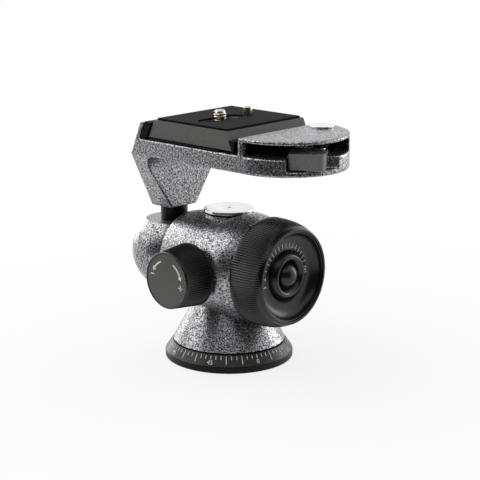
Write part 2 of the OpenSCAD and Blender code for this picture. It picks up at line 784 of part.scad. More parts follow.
module ball_seat() color([0.05, 0.05, 0.05]) difference() {
  on_axis(-seat_x0) cylinder(h = seat_t, r = seat_r);
  on_axis(-ball_x) sphere(r = seat_in_r);
  on_axis(-seat_x0 - eps) cylinder(h = seat_t + 2 * eps, r = seat_hole_r);
}

// Way through the ball for the clamp rod, from level to hanging straight down.
module rod_slot() {
  far = ball_r + slot_over;
  rotate([90, 0, 0]) linear_extrude(height = 2 * slot_r, center = true) polygon([
    [-slot_r, -far], [far, -far], [far, slot_r + far * tan(lean_in)], [0, slot_r], [-slot_r, 0]]);
}

module ball_shell() color([0.6, 0.6, 0.62]) at_ball() difference() {
  sphere(r = ball_r);
  difference() {
    sphere(r = ball_in_r);
    translate([0, 0, neck_boss_rise]) cylinder(h = ball_r, r = neck_boss_r);
  }
  translate([-ball_r, -ball_r, ball_flat]) cube([2 * ball_r, 2 * ball_r, ball_r]);
  translate([0, 0, neck_boss_rise - eps]) cylinder(h = ball_r, r = spigot_r + run_fit);
  rotate([0, -90, 0]) cylinder(h = ball_r + eps, r = plug_r + run_fit);
  rod_slot();
}

module ball_plug() color([0.6, 0.6, 0.62]) at_ball() difference() {
  intersection() {
    sphere(r = ball_r);
    rotate([0, -90, 0]) cylinder(h = ball_r + eps, r = plug_r);
  }
  sphere(r = ball_in_r);
}

module neck() color([0.06, 0.06, 0.06]) translate([-ball_x, 0, 0]) {
  translate([0, 0, neck_z0]) cylinder(h = neck_h, r = neck_r);
  translate([0, 0, neck_boss_z]) cylinder(h = neck_z0 - neck_boss_z, r = spigot_r);
  translate([0, 0, neck_z1]) cylinder(h = spigot_h, r = spigot_r);
}

module clamp_head() color([0.55, 0.55, 0.57]) at_ball() intersection() {
  sphere(r = head_r);
  translate([head_cut, 0, 0]) along_x() ring(head_r + eps, rod_r - rod_step, head_r);
}

module clamp_rod() color([0.6, 0.6, 0.62]) {
  on_axis(-ball_x + head_cut) cylinder(h = head_r - head_cut, r = rod_r - rod_step);
  on_axis(-ball_x + head_r) cylinder(h = ball_x - head_r + rod_x1, r = rod_r);
}

module lock_piston() color([0.5, 0.5, 0.52]) difference() {
  union() {
    on_axis(-piston_x0) cylinder(h = piston_x0 + piston_x1, r = piston_r);
    on_axis(-piston_x0 - piston_hub_l) cylinder(h = piston_hub_l + eps, r = piston_hub_r);
  }
  cylinder(h = 2 * axis_z, r = cross_bore_r);
  along_pan() cylinder(h = piston_r + eps, r = pan_hole_r);
  on_axis(-piston_x0 - piston_hub_l - eps)
    cylinder(h = piston_x0 + piston_hub_l + eps + rod_x1, r = rod_r + run_fit);
  on_axis(lock_stud_x0) cylinder(h = piston_x1, r = lock_stud_r + run_fit);
}

module lock_stud() color([0.6, 0.6, 0.62])
  on_axis(lock_stud_x0) cylinder(h = dial_back_x - stud_end_gap - lock_stud_x0, r = lock_stud_r);

// Ribbed knob: bowed side, rim at the front, web with a hub for the nut.
module tilt_knob() color([0.05, 0.05, 0.05]) on_axis() difference() {
  rotate_extrude() polygon(concat(
    [[tilt_nut_r + run_fit, tilt_x0], [tilt_r - knob_edge, tilt_x0]],
    [for (i = [0 : curve_steps]) let (t = i / curve_steps)
      [tilt_r - (tilt_r - tilt_rim_r) * pow(t, 3), tilt_x0 + knob_edge + t * (tilt_knob_l - knob_edge)]],
    [[dial_r, tilt_x1], [dial_r, dial_back_x], [tilt_nut_r + run_fit, dial_back_x]]));
  translate([0, 0, tilt_x0 - eps])
    ring(tilt_shell_in_r, tilt_hub_r, dial_back_x - tilt_web_t - tilt_x0 + eps);
  translate([0, 0, tilt_x0 - eps]) cylinder(h = tilt_nut_flange_t + eps, r = tilt_nut_flange_r + run_fit);
}

module tilt_dial() color([0.06, 0.06, 0.06]) on_axis() rotate_extrude() polygon(concat(
  [[0, dial_back_x], [dial_r - run_fit, dial_back_x], [dial_r - run_fit, tilt_x1 - dial_sunk]],
  [for (i = [curve_steps : -1 : 0]) let (a = i * 90 / curve_steps)
    [dish_wall_r + (dish_fillet - dial_lip) * sin(a),
      tilt_x1 - dial_sunk - (dish_depth - dial_sunk) * cos(a)]],
  [for (i = [0 : curve_steps]) let (t = i / curve_steps)
    [ring_out_r - t * ring_w, dish_x + dish_ring_h * sin(t * ring_sweep)]],
  [[ring_in_r, dome_seat_x], [0, dome_seat_x]]));

module tilt_dome() color([0.06, 0.06, 0.06]) intersection() {
  on_axis(dome_seat_x + dome_h - dome_sphere_r) sphere(r = dome_sphere_r);
  on_axis(dome_seat_x) cylinder(h = dome_h + eps, r = dome_r);
}

module tilt_nut() color([0.75, 0.6, 0.3]) {
  on_axis(tilt_x0) ring(tilt_nut_flange_r, lock_stud_r + run_fit, tilt_nut_flange_t);
  on_axis(tilt_x0 + tilt_nut_flange_t)
    ring(tilt_nut_r, lock_stud_r + run_fit, dial_back_x - tilt_x0 - tilt_nut_flange_t);
}

module pan_knob() color([0.05, 0.05, 0.05]) along_pan() rotate_extrude() polygon([
  [pan_stud_r + run_fit, pan_y0], [pan_r - knob_edge, pan_y0], [pan_r, pan_y0 + knob_edge],
  [pan_face_r, pan_y1 - knob_edge], [pan_face_r - pan_rim_edge, pan_y1], [pan_disc_r, pan_y1],
  [pan_disc_r, pan_y1 - pan_disc_t], [pan_stud_r + run_fit, pan_y1 - pan_disc_t]]);

module pan_knob_face() color([0.28, 0.28, 0.28]) along_pan() translate([0, 0, pan_y1 - pan_disc_t])
  cylinder(h = pan_disc_t - pan_disc_sunk, r = pan_disc_r - run_fit);

module pan_stud() color([0.6, 0.6, 0.62]) along_pan() translate([0, 0, pan_stud_y0])
  cylinder(h = pan_y1 - pan_disc_t - pan_stud_y0, r = pan_stud_r);

module pan_shoe() color([0.75, 0.6, 0.3])
  along_pan() translate([0, 0, shoe_y0]) cylinder(h = shoe_t, r = shoe_r);

// Outline of the lever end seen from above.
module end_outline() intersection() {
  union() {
    translate([end_mid_x, 0]) circle(r = end_r);
    translate([end_x, -end_r]) square([end_mid_x - end_x, 2 * end_r]);
  }
  translate([end_x, -end_r]) square([2 * end_r, 2 * end_r]);
}

// Leg: a side view with a hollow under the bed, cut to a front view that spreads out towards it.
module leg() intersection() {
  rotate([90, 0, 0]) linear_extrude(height = platform_w, center = true) polygon(concat(
    [[-lip_x0, bed_z], [-leg_x0, leg_z0], [-leg_x1, leg_z0]],
    [for (i = [0 : curve_steps]) let (a = i * 90 / curve_steps)
      [-leg_x1 + leg_fillet * (1 - cos(a)), bed_z - leg_fillet * (1 - sin(a))]],
    [[-leg_x1 + leg_fillet, bed_z + join_h], [-lip_x0 + bed_in, bed_z + join_h]]));
  translate([-platform_w, 0, 0]) rotate([90, 0, 90]) linear_extrude(height = 2 * platform_w) polygon([
    [-leg_foot_w / 2, leg_z0], [leg_foot_w / 2, leg_z0], [half_w, bed_z],
    [half_w, bed_z + join_h], [-half_w, bed_z + join_h], [-half_w, bed_z]]);
}

// Lip that holds the fixed jaw.
module lip() rotate([90, 0, 0]) linear_extrude(height = platform_w, center = true) polygon([
  [-lip_x0, bed_z], [-lip_x0 + lip_lean, lip_z1], [-lip_x0 + lip_lean + lip_t, lip_z1],
  [-lip_x0 + lip_foot, bed_z1], [-lip_x0 + lip_base, bed_z]]);

// Room in the lever end for the lever, its cam and the moving jaw. A wall stops the open lever.
module lever_room() {
  translate([0, 0, slot_z0]) linear_extrude(height = slot_h) difference() {
    translate([slot_x, -end_r - eps]) square([2 * end_r, 2 * end_r]);
    translate([slot_x - eps, pillar_y]) square([end_r, end_r]);
    translate([pivot_x, pivot_y]) rotate(lever_open - lever_angle)
      translate([hub_r_lever + face_gap, arm_half + face_gap]) square(2 * end_r);
  }
  translate([end_x - eps, -pillar_y, slot_z0]) cube([slot_x - end_x + 2 * eps, 2 * pillar_y, slot_h]);
  at_lever() translate([0, 0, relief_z]) linear_extrude(height = slot_z0 - relief_z + eps) difference() {
    translate([0, tab_y0 - relief_side]) square([lever_l + relief_over, 2 * tab_w]);
    circle(r = relief_r);
  }
}

module platform() color([0.6, 0.6, 0.62]) difference() {
  union() {
    leg();
    lip();
    translate([-lip_x0 + bed_in, -half_w, bed_z]) cube([end_mid_x + lip_x0 - bed_in, platform_w, bed_h]);
    translate([liner_x1, -half_w, bed_z]) cube([end_mid_x - liner_x1, platform_w, slot_z0 - bed_z]);
    translate([0, 0, bed_z]) linear_extrude(height = lip_z1 - bed_z) end_outline();
  }
  lever_room();
  translate([-ball_x, 0, leg_z0 - eps]) cylinder(h = spigot_h + face_gap + eps, r = spigot_r + run_fit);
  translate([-leg_x0 - eps, 0, grub_z]) along_x() cylinder(h = leg_t / 2 + eps, r = grub_r + run_fit);
  translate([pivot_x, pivot_y, bed_z + pivot_floor])
    cylinder(h = lip_z1 - bed_z, r = pivot_pin_d / 2 + run_fit);
}

module neck_grub_screw() color([0.2, 0.2, 0.2])
  translate([-ball_x - spigot_r - face_gap, 0, grub_z]) rotate([0, -90, 0]) difference() {
    cylinder(h = grub_l, r = grub_r);
    translate([0, 0, grub_l - grub_key_depth])
      cylinder(h = grub_key_depth + eps, r = grub_key_r, $fn = hex_sides);
  }

module fixed_jaw() color([0.05, 0.05, 0.05]) {
  x0 = lip_x0 - lip_lean - lip_t;
  z1 = lip_z1 + strip_proud;
  rotate([90, 0, 0]) linear_extrude(height = platform_w - strip_inset, center = true) polygon([
    [-lip_x0 + lip_foot, bed_z1], [-plate_grip_x - plate_slope * (bed_z1 - plate_z) - strip_toe, bed_z1],
    [-plate_grip_x - strip_toe, plate_z - face_gap], [-plate_grip_x, plate_z],
    [-plate_grip_x + plate_slope * (z1 - plate_z), z1], [-x0 + strip_lap, z1], [-x0, lip_z1]]);
}

module bed_liner() color([0.05, 0.05, 0.05]) translate([-liner_x0, -half_w + liner_inset, bed_z1])
  cube([liner_x0 + liner_x1 - liner_end_gap, platform_w - 2 * liner_inset, liner_t]);

module lever_pivot() color([0.85, 0.85, 0.86]) translate([pivot_x, pivot_y, 0]) {
  translate([0, 0, bed_z + pivot_floor + pivot_end_gap])
    cylinder(h = lip_z1 - bed_z - pivot_floor - pivot_end_gap, r = pivot_pin_d / 2);
  translate([0, 0, lip_z1]) cylinder(h = pivot_disc_h, r = pivot_disc_d / 2);
}

module lever_spring() color([0.55, 0.55, 0.57]) translate([pivot_x, pivot_y, arm_z1 + spring_gap])
  coil(pivot_pin_d / 2 + spring_wire, spring_wire, spring_turns, slot_z1 - arm_z1 - 2 * spring_gap);

module lever() color([0.27, 0.28, 0.27]) at_lever() difference() {
  union() {
    translate([0, 0, arm_z0]) linear_extrude(height = arm_t) {
      circle(r = hub_r_lever);
      rotate([0, 0, 180 + lever_angle]) {
        translate([nose_at, 0]) circle(r = nose_r);
        translate([0, -nose_r]) square([nose_at, 2 * nose_r]);
      }
      polygon([[0, -arm_half], [arm_flare, -arm_half], [arm_end, tab_y0], [tab_in_r + join_h, tab_y0],
        [tab_in_r + join_h, tab_y1], [arm_end, tab_y1], [arm_flare, arm_half], [0, arm_half]]);
    }
    translate([0, 0, tab_z0]) linear_extrude(height = tab_h) difference() {
      polygon(concat(
        [[0, tab_y1], [0, tab_y0], [lever_l - tab_edge, tab_y0], [lever_l, tab_y0 + tab_edge]],
        [for (i = [0 : curve_steps]) let (a = i * 90 / curve_steps)
          [lever_l - tab_r * (1 - cos(a)), tab_y1 - tab_r * (1 - sin(a))]]));
      circle(r = tab_in_r);
    }
  }
  translate([0, 0, arm_z0 - eps]) cylinder(h = arm_t + 2 * eps, r = pivot_pin_d / 2 + run_fit);
  translate([rivet_at, rivet_side, arm_z0 + rivet_seat])
    cylinder(h = arm_t, r = rivet_d / 2 - rivet_step + run_fit);
}

module lever_rivet() color([0.8, 0.8, 0.82]) at_lever() translate([rivet_at, rivet_side, 0]) {
  translate([0, 0, arm_z0 + rivet_seat]) cylinder(h = arm_t - rivet_seat, r = rivet_d / 2 - rivet_step);
  translate([0, 0, arm_z1]) cylinder(h = rivet_h, r = rivet_d / 2);
}

module moving_jaw() color([0.05, 0.05, 0.05]) difference() {
  rotate([90, 0, 0]) {
    linear_extrude(height = 2 * jaw_half, center = true) polygon(jaw_side(jaw_x1));
    linear_extrude(height = 2 * jaw_bar_half, center = true) polygon(jaw_side(jaw_bar_x1));
  }
  translate([jaw_notch_x, jaw_notch_y0, jaw_z0 - eps])
    cube([jaw_x1, pivot_y + nose_edge - jaw_notch_y0, jaw_z1 - jaw_z0 + 2 * eps]);
  translate([jaw_pad_x, jaw_notch_y0, jaw_z0 - eps])
    cube([jaw_x1, end_r, jaw_z1 - jaw_z0 + 2 * eps]);
}

module camera_plate() color([0.44, 0.43, 0.43]) difference() {
  rotate([90, 0, 0]) linear_extrude(height = plate_l, center = true) polygon([
    [-plate_w / 2, plate_z], [plate_w / 2, plate_z], [plate_top_w / 2, plate_top_z],
    [-plate_top_w / 2, plate_top_z]]);
  translate([0, 0, plate_z - eps]) {
    slot_y(slot_y0, slot_y1, pocket_r, pocket_z - plate_z + eps);
    slot_y(slot_y0, slot_y1, screw_slot_r, plate_h + 2 * eps);
  }
  at_pin(plate_z - eps) {
    cylinder(h = pin_flange_z + pin_flange_h + pin_room - plate_z + eps, r = pin_hole_r);
    cylinder(h = plate_h + 2 * eps, r = pin_r + run_fit);
  }
}

module plate_pad() color([0.05, 0.05, 0.05]) difference() {
  translate([-plate_top_w / 2 + pad_in_x, -plate_l / 2 + pad_in_y, plate_top_z])
    cube([plate_top_w - 2 * pad_in_x, plate_l - 2 * pad_in_y, plate_pad_t]);
  translate([0, 0, plate_top_z - eps]) slot_y(slot_y0, pad_slot_y1, pad_slot_r, plate_pad_t + 2 * eps);
  at_pin(plate_top_z - eps) cylinder(h = plate_pad_t + 2 * eps, r = pin_r + pin_pad_gap);
}

module screw_retainer() color([0.6, 0.6, 0.62])
  translate([0, camera_screw_y, screw_head_z + screw_head_h + retainer_gap])
    ring(retainer_r, screw_shank_r + run_fit, retainer_t);

module camera_screw() color([0.65, 0.65, 0.67]) translate([0, camera_screw_y, 0]) difference() {
  union() {
    translate([0, 0, screw_head_z]) cylinder(h = screw_head_h, r = screw_head_r);
    translate([0, 0, screw_head_z]) cylinder(h = pad_top_z - screw_head_z, r = screw_shank_r);
    translate([0, 0, pad_top_z]) cylinder(h = camera_screw_out, r = screw_r);
  }
  translate([-screw_head_r - eps, -coin_slot_w / 2, screw_head_z - eps])
    cube([2 * screw_head_r + 2 * eps, coin_slot_w, coin_slot_depth + eps]);
}

module video_pin() color([0.65, 0.65, 0.67]) at_pin(pin_flange_z) {
  cylinder(h = pin_flange_h, r = pin_flange_r);
  cylinder(h = pad_top_z - pin_flange_z, r = pin_shank_r);
  translate([0, 0, pad_top_z - pin_flange_z]) cylinder(h = video_pin_out, r = pin_r);
}

module pin_spring() color([0.6, 0.6, 0.62]) at_pin(pin_plug_z + pin_plug_t)
  coil(pin_r - pin_spring_inset, pin_spring_wire, pin_spring_turns, pin_flange_z - pin_plug_z - pin_plug_t);

module pin_plug() color([0.5, 0.5, 0.52])
  at_pin(pin_plug_z) cylinder(h = pin_plug_t, r = pin_hole_r - run_fit);

base_plate();
scale_ring();
base_pad();
pan_spindle();
base_screws();
thrust_washer();
spindle_washer();
spindle_nut();
housing();
lower_bush();
upper_bush();
top_cap();
cap_seal();
end_cover();
cover_screws();
pan_lock_bush();
disc_springs();
knob_washer();
ball_seat();
ball_shell();
ball_plug();
neck();
clamp_head();
clamp_rod();
lock_piston();
lock_stud();
tilt_knob();
tilt_dial();
tilt_dome();
tilt_nut();
pan_knob();
pan_knob_face();
pan_stud();
pan_shoe();
platform();
neck_grub_screw();
fixed_jaw();
bed_liner();
lever_pivot();
lever_spring();
lever();
lever_rivet();
moving_jaw();
camera_plate();
plate_pad();
screw_retainer();
camera_screw();
video_pin();
pin_spring();
pin_plug();
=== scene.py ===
"""Looks of a ball head: an arched quick-release platform on a ball beside a panning barrel.

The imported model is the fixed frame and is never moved. Each class is one sub-assembly: its fields are
sizes in millimetres, its places come from the frame, and its methods build and dress its pieces.
"""

from __future__ import annotations

import json
import logging
import math
from dataclasses import dataclass
from enum import Enum
from typing import Callable, Sequence

import bmesh
import bpy
from mathutils import Matrix, Vector

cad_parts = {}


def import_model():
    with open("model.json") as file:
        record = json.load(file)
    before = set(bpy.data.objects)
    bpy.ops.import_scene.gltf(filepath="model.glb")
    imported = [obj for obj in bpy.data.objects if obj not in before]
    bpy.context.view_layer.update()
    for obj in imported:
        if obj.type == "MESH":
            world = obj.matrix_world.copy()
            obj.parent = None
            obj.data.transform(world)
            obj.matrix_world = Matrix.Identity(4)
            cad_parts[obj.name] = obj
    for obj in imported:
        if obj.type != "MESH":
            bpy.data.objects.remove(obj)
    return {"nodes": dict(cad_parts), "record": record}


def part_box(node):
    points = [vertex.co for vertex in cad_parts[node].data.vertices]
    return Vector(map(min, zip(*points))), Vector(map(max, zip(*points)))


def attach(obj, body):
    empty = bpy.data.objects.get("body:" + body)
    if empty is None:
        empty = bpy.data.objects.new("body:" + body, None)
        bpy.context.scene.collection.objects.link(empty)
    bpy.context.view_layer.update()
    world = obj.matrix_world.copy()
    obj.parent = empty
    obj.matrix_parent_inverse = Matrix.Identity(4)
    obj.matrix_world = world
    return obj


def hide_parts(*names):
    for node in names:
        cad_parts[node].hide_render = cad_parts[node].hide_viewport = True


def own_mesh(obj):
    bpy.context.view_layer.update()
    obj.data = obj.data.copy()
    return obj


LOG = logging.getLogger("ball_head")
MM = 0.001
FULL_TURN = 2 * math.pi
TURN_STEPS = 144
MERGE_MM = 0.002
FLAT_DEGREES = 0.4
INK_MM = 0.05

Point = tuple[float, float]


def linear(colour: str) -> tuple[float, float, float, float]:
    """Turns an sRGB hex colour to linear RGBA."""
    channels = [int(colour[i : i + 2], 16) / 255 for i in (1, 3, 5)]
    return (*(c / 12.92 if c <= 0.04045 else ((c + 0.055) / 1.055) ** 2.4 for c in channels), 1.0)


def add_node(
    tree: bpy.types.NodeTree,
    kind: str,
    inputs: dict[str | int, object] | None = None,
    links: dict[str | int, bpy.types.NodeSocket] | None = None,
    stops: Sequence[tuple[float, tuple[float, ...]]] = (),
    **settings: object,
) -> bpy.types.Node:
    """Adds a node with its settings, values, colour stops and links.

    Args:
        tree: The node tree to add to.
        kind: The node's type name.
        inputs: Values for input sockets, by name or number.
        links: Output sockets to link, by the input's name or number.
        stops: Places and colours of a colour ramp.
        settings: Attributes of the node.

    Returns:
        The new node.
    """
    made = tree.nodes.new(kind)
    for name, value in settings.items():
        setattr(made, name, value)
    for name, value in (inputs or {}).items():
        made.inputs[name].default_value = value
    for name, source in (links or {}).items():
        tree.links.new(source, made.inputs[name])
    for element, (place, colour) in zip(made.color_ramp.elements if stops else (), stops):
        element.position, element.color = place, colour
    return made


class Pattern(Enum):
    """How a surface was made, which sets the pattern that the eye sees on it."""

    GRAIN = "even fine grain"
    SPECKLE = "cells of light and dark enamel"
    TURNED = "rings left by a lathe"
    PEBBLE = "small round pimples"


class Axis(Enum):
    """The axis that a lathe's rings run round."""

    X = "X"
    Y = "Y"
    Z = "Z"


@dataclass(frozen=True)
class Finish:
    """A surface as the eye sees it. Grain sizes are in millimetres."""

    name: str
    slot: str
    dark: str
    light: str
    roughness: float
    metallic: float = 0.0
    specular: float = 0.5
    spread: float = 0.05
    grain: float = 0.6
    depth: float = 0.01
    strength: float = 0.4
    edges: Point = (0.35, 0.65)
    pattern: Pattern = Pattern.GRAIN
    axis: Axis = Axis.Z
    centre: tuple[float, float, float] = (0.0, 0.0, 0.0)

    def height(self, tree: bpy.types.NodeTree) -> bpy.types.NodeSocket:
        """Adds the nodes of the pattern.

        Args:
            tree: The material's node tree.

        Returns:
            The socket that carries the pattern, from 0 to 1.
        """
        where = add_node(tree, "ShaderNodeTexCoord").outputs["Object"]
        placed = add_node(
            tree,
            "ShaderNodeMapping",
            {"Location": [-c * MM for c in self.centre]},
            {"Vector": where},
        ).outputs["Vector"]
        scale = 1 / (self.grain * MM)
        if self.pattern is Pattern.TURNED:
            return add_node(
                tree,
                "ShaderNodeTexWave",
                {"Scale": scale / FULL_TURN, "Distortion": 1.2, "Detail": 2.0, "Detail Scale": 3.0},
                {"Vector": placed},
                wave_type="RINGS",
                rings_direction=self.axis.value,
            ).outputs["Fac"]
        if self.pattern is Pattern.PEBBLE:
            return add_node(
                tree, "ShaderNodeTexVoronoi", {"Scale": scale}, {"Vector": placed}, feature="SMOOTH_F1"
            ).outputs["Distance"]
        detail = 1.5 if self.pattern is Pattern.SPECKLE else 3.0
        return add_node(
            tree, "ShaderNodeTexNoise", {"Scale": scale, "Detail": detail}, {"Vector": placed}
        ).outputs["Fac"]

    def material(self) -> bpy.types.Material:
        """Makes the material, or finds it if it is made already.

        Returns:
            The procedural material.
        """
        found = bpy.data.materials.get(self.name)
        if found:
            return found
        made = bpy.data.materials.new(self.name)
        made.use_nodes = True
        tree = made.node_tree
        shader = tree.nodes["Principled BSDF"]
        shader.inputs["Metallic"].default_value = self.metallic
        shader.inputs["Specular IOR Level"].default_value = self.specular
        height = self.height(tree)
        low, high = self.edges
        stops = ((low, linear(self.dark)), (high, linear(self.light)))
        colour = add_node(tree, "ShaderNodeValToRGB", links={"Fac": height}, stops=stops)
        rough = add_node(
            tree,
            "ShaderNodeMapRange",
            {"To Min": self.roughness + self.spread, "To Max": self.roughness - self.spread},
            {"Value": height},
        )
        bump = add_node(
            tree,
            "ShaderNodeBump",
            {"Strength": self.strength, "Distance": self.depth * MM},
            {"Height": height},
        )
        tree.links.new(colour.outputs["Color"], shader.inputs["Base Color"])
        tree.links.new(rough.outputs["Result"], shader.inputs["Roughness"])
        tree.links.new(bump.outputs["Normal"], shader.inputs["Normal"])
        return made


# Sprayed hammertone enamel: glossy silver cells under a millimetre wide, run together over dark grey.
HAMMERTONE = Finish(
    "hammertone_enamel_sprayed", "hammertone", "#434446", "#BDBDC0", 0.27, 0.85, 0.5, 0.05,
    grain=0.85, depth=0.17, strength=0.8, edges=(0.36, 0.66), pattern=Pattern.SPECKLE,
)  # fmt: skip
# Black anodised aluminium, turned: nearly black, with a soft grey sheen.
ANODISED = Finish(
    "black_anodised_aluminium_turned", "black_anodised", "#060606", "#0E0E0D", 0.36, 0.0, 0.2,
    grain=0.5, depth=0.004, pattern=Pattern.TURNED,
)  # fmt: skip
# Dark grey anodised bevel, lathe-turned: a dark satin metal that shines where the light strikes it.
SCALE_GREY = Finish(
    "dark_anodised_aluminium_satin", "scale_grey", "#2E2E2D", "#383736", 0.34, 0.75, 0.4,
    grain=0.2, depth=0.004, pattern=Pattern.TURNED,
)  # fmt: skip
# Moulded black rubber: matt, with a fine pimpled skin.
RUBBER = Finish(
    "black_rubber_moulded", "rubber_black", "#090A0A", "#161717", 0.8, 0.0, 0.12,
    grain=0.55, depth=0.03, strength=0.6, edges=(0.1, 0.7), pattern=Pattern.PEBBLE,
)  # fmt: skip
# Bright turned steel: grey metal with fine rings.
STEEL = Finish(
    "steel_turned", "steel", "#8E8D8B", "#B9B8B5", 0.28, 1.0, grain=0.4, depth=0.003, pattern=Pattern.TURNED
)
# Polished nickel plate: a clear mirror with faint cloudiness.
POLISHED = Finish(
    "nickel_plate_polished", "polished", "#DDDDDF", "#EFEFF0", 0.1, 1.0, spread=0.03, grain=4.0, depth=0.002
)
# Plated camera screw and pin: bright metal with a warm, faintly golden cast.
GILT = Finish(
    "nickel_brass_plated", "steel", "#B5AB99", "#DDD7CA", 0.2, 1.0, grain=0.4, depth=0.003,
    pattern=Pattern.TURNED,
)  # fmt: skip
# Turned brass: warm yellow metal.
BRASS = Finish(
    "brass_turned", "brass", "#A8853F", "#C9A85E", 0.3, 1.0, grain=0.4, depth=0.003, pattern=Pattern.TURNED
)
# Sintered bronze: brown, porous and dull.
BRONZE = Finish(
    "bronze_sintered", "bronze", "#6E4C24", "#9A7440", 0.48, 1.0, grain=0.3, depth=0.01
)
# Machined black acetal: dark, waxy and smooth.
ACETAL = Finish(
    "black_acetal_machined", "acetal", "#0B0B0B", "#171717", 0.42, grain=0.8, depth=0.005
)
# Turned aluminium of the lock piston: pale grey metal with fine rings.
TURNED_ALLOY = Finish(
    "aluminium_turned", "turned_alloy", "#A3A3A6", "#C6C6C9", 0.32, 1.0, grain=0.4, depth=0.003,
    pattern=Pattern.TURNED, axis=Axis.X, centre=(0.0, 0.0, 49.0),
)  # fmt: skip
# Moulded black nylon of the ribbed knobs: deep black with a soft sheen.
KNOB_BLACK = Finish(
    "black_nylon_moulded", "knob_black", "#030403", "#060706", 0.22, 0.0, 0.45, grain=0.35, depth=0.006
)
# Moulded black ABS of the dial: smooth and glossy.
DIAL_BLACK = Finish(
    "black_abs_glossy", "dial_black", "#030403", "#060706", 0.3, 0.0, 0.5, 0.03, grain=1.6, depth=0.003
)
# Moulded black nylon of the jaws: matt and dark. The same matt black on the sheet under the plate makes the
# dark band between the plate and the casting.
BLACK_OF_JAWS_AND_BAND = Finish(
    "black_matt_jaws_and_dark_band", "jaw_black", "#040404", "#080808", 0.62, 0.0, 0.12, grain=0.3, depth=0.01
)
# Spun dark aluminium of the pan knob's face: grooved rings that fan the light out from the middle.
PAN_DISC = Finish(
    "dark_aluminium_spun", "pan_disc", "#565554", "#5C5B5A", 0.3, 0.8, 0.5, grain=0.15, depth=0.001,
    pattern=Pattern.TURNED, axis=Axis.Y, centre=(0.0, 0.0, 48.0),
)  # fmt: skip
# Painted aluminium of the camera plate: dark grey, satin, with a fine orange peel.
PLATE_GREY = Finish(
    "grey_painted_aluminium_satin", "plate_grey", "#545453", "#626160", 0.5, 0.0, 0.2,
    grain=0.45, depth=0.012,
)  # fmt: skip
# Painted zinc casting of the lever: mid grey and satin.
LEVER_GREY = Finish(
    "dark_painted_zinc_satin", "lever_grey", "#6A6B68", "#7A7B78", 0.36, 0.1, 0.4, grain=0.6, depth=0.012
)
# White screen ink of the marks: flat and chalky, a little worn.
INK = Finish(
    "white_screen_ink", "polished", "#C9C9C4", "#F2F2EE", 0.55, 0.0, 0.3, grain=0.5, depth=0.004
)


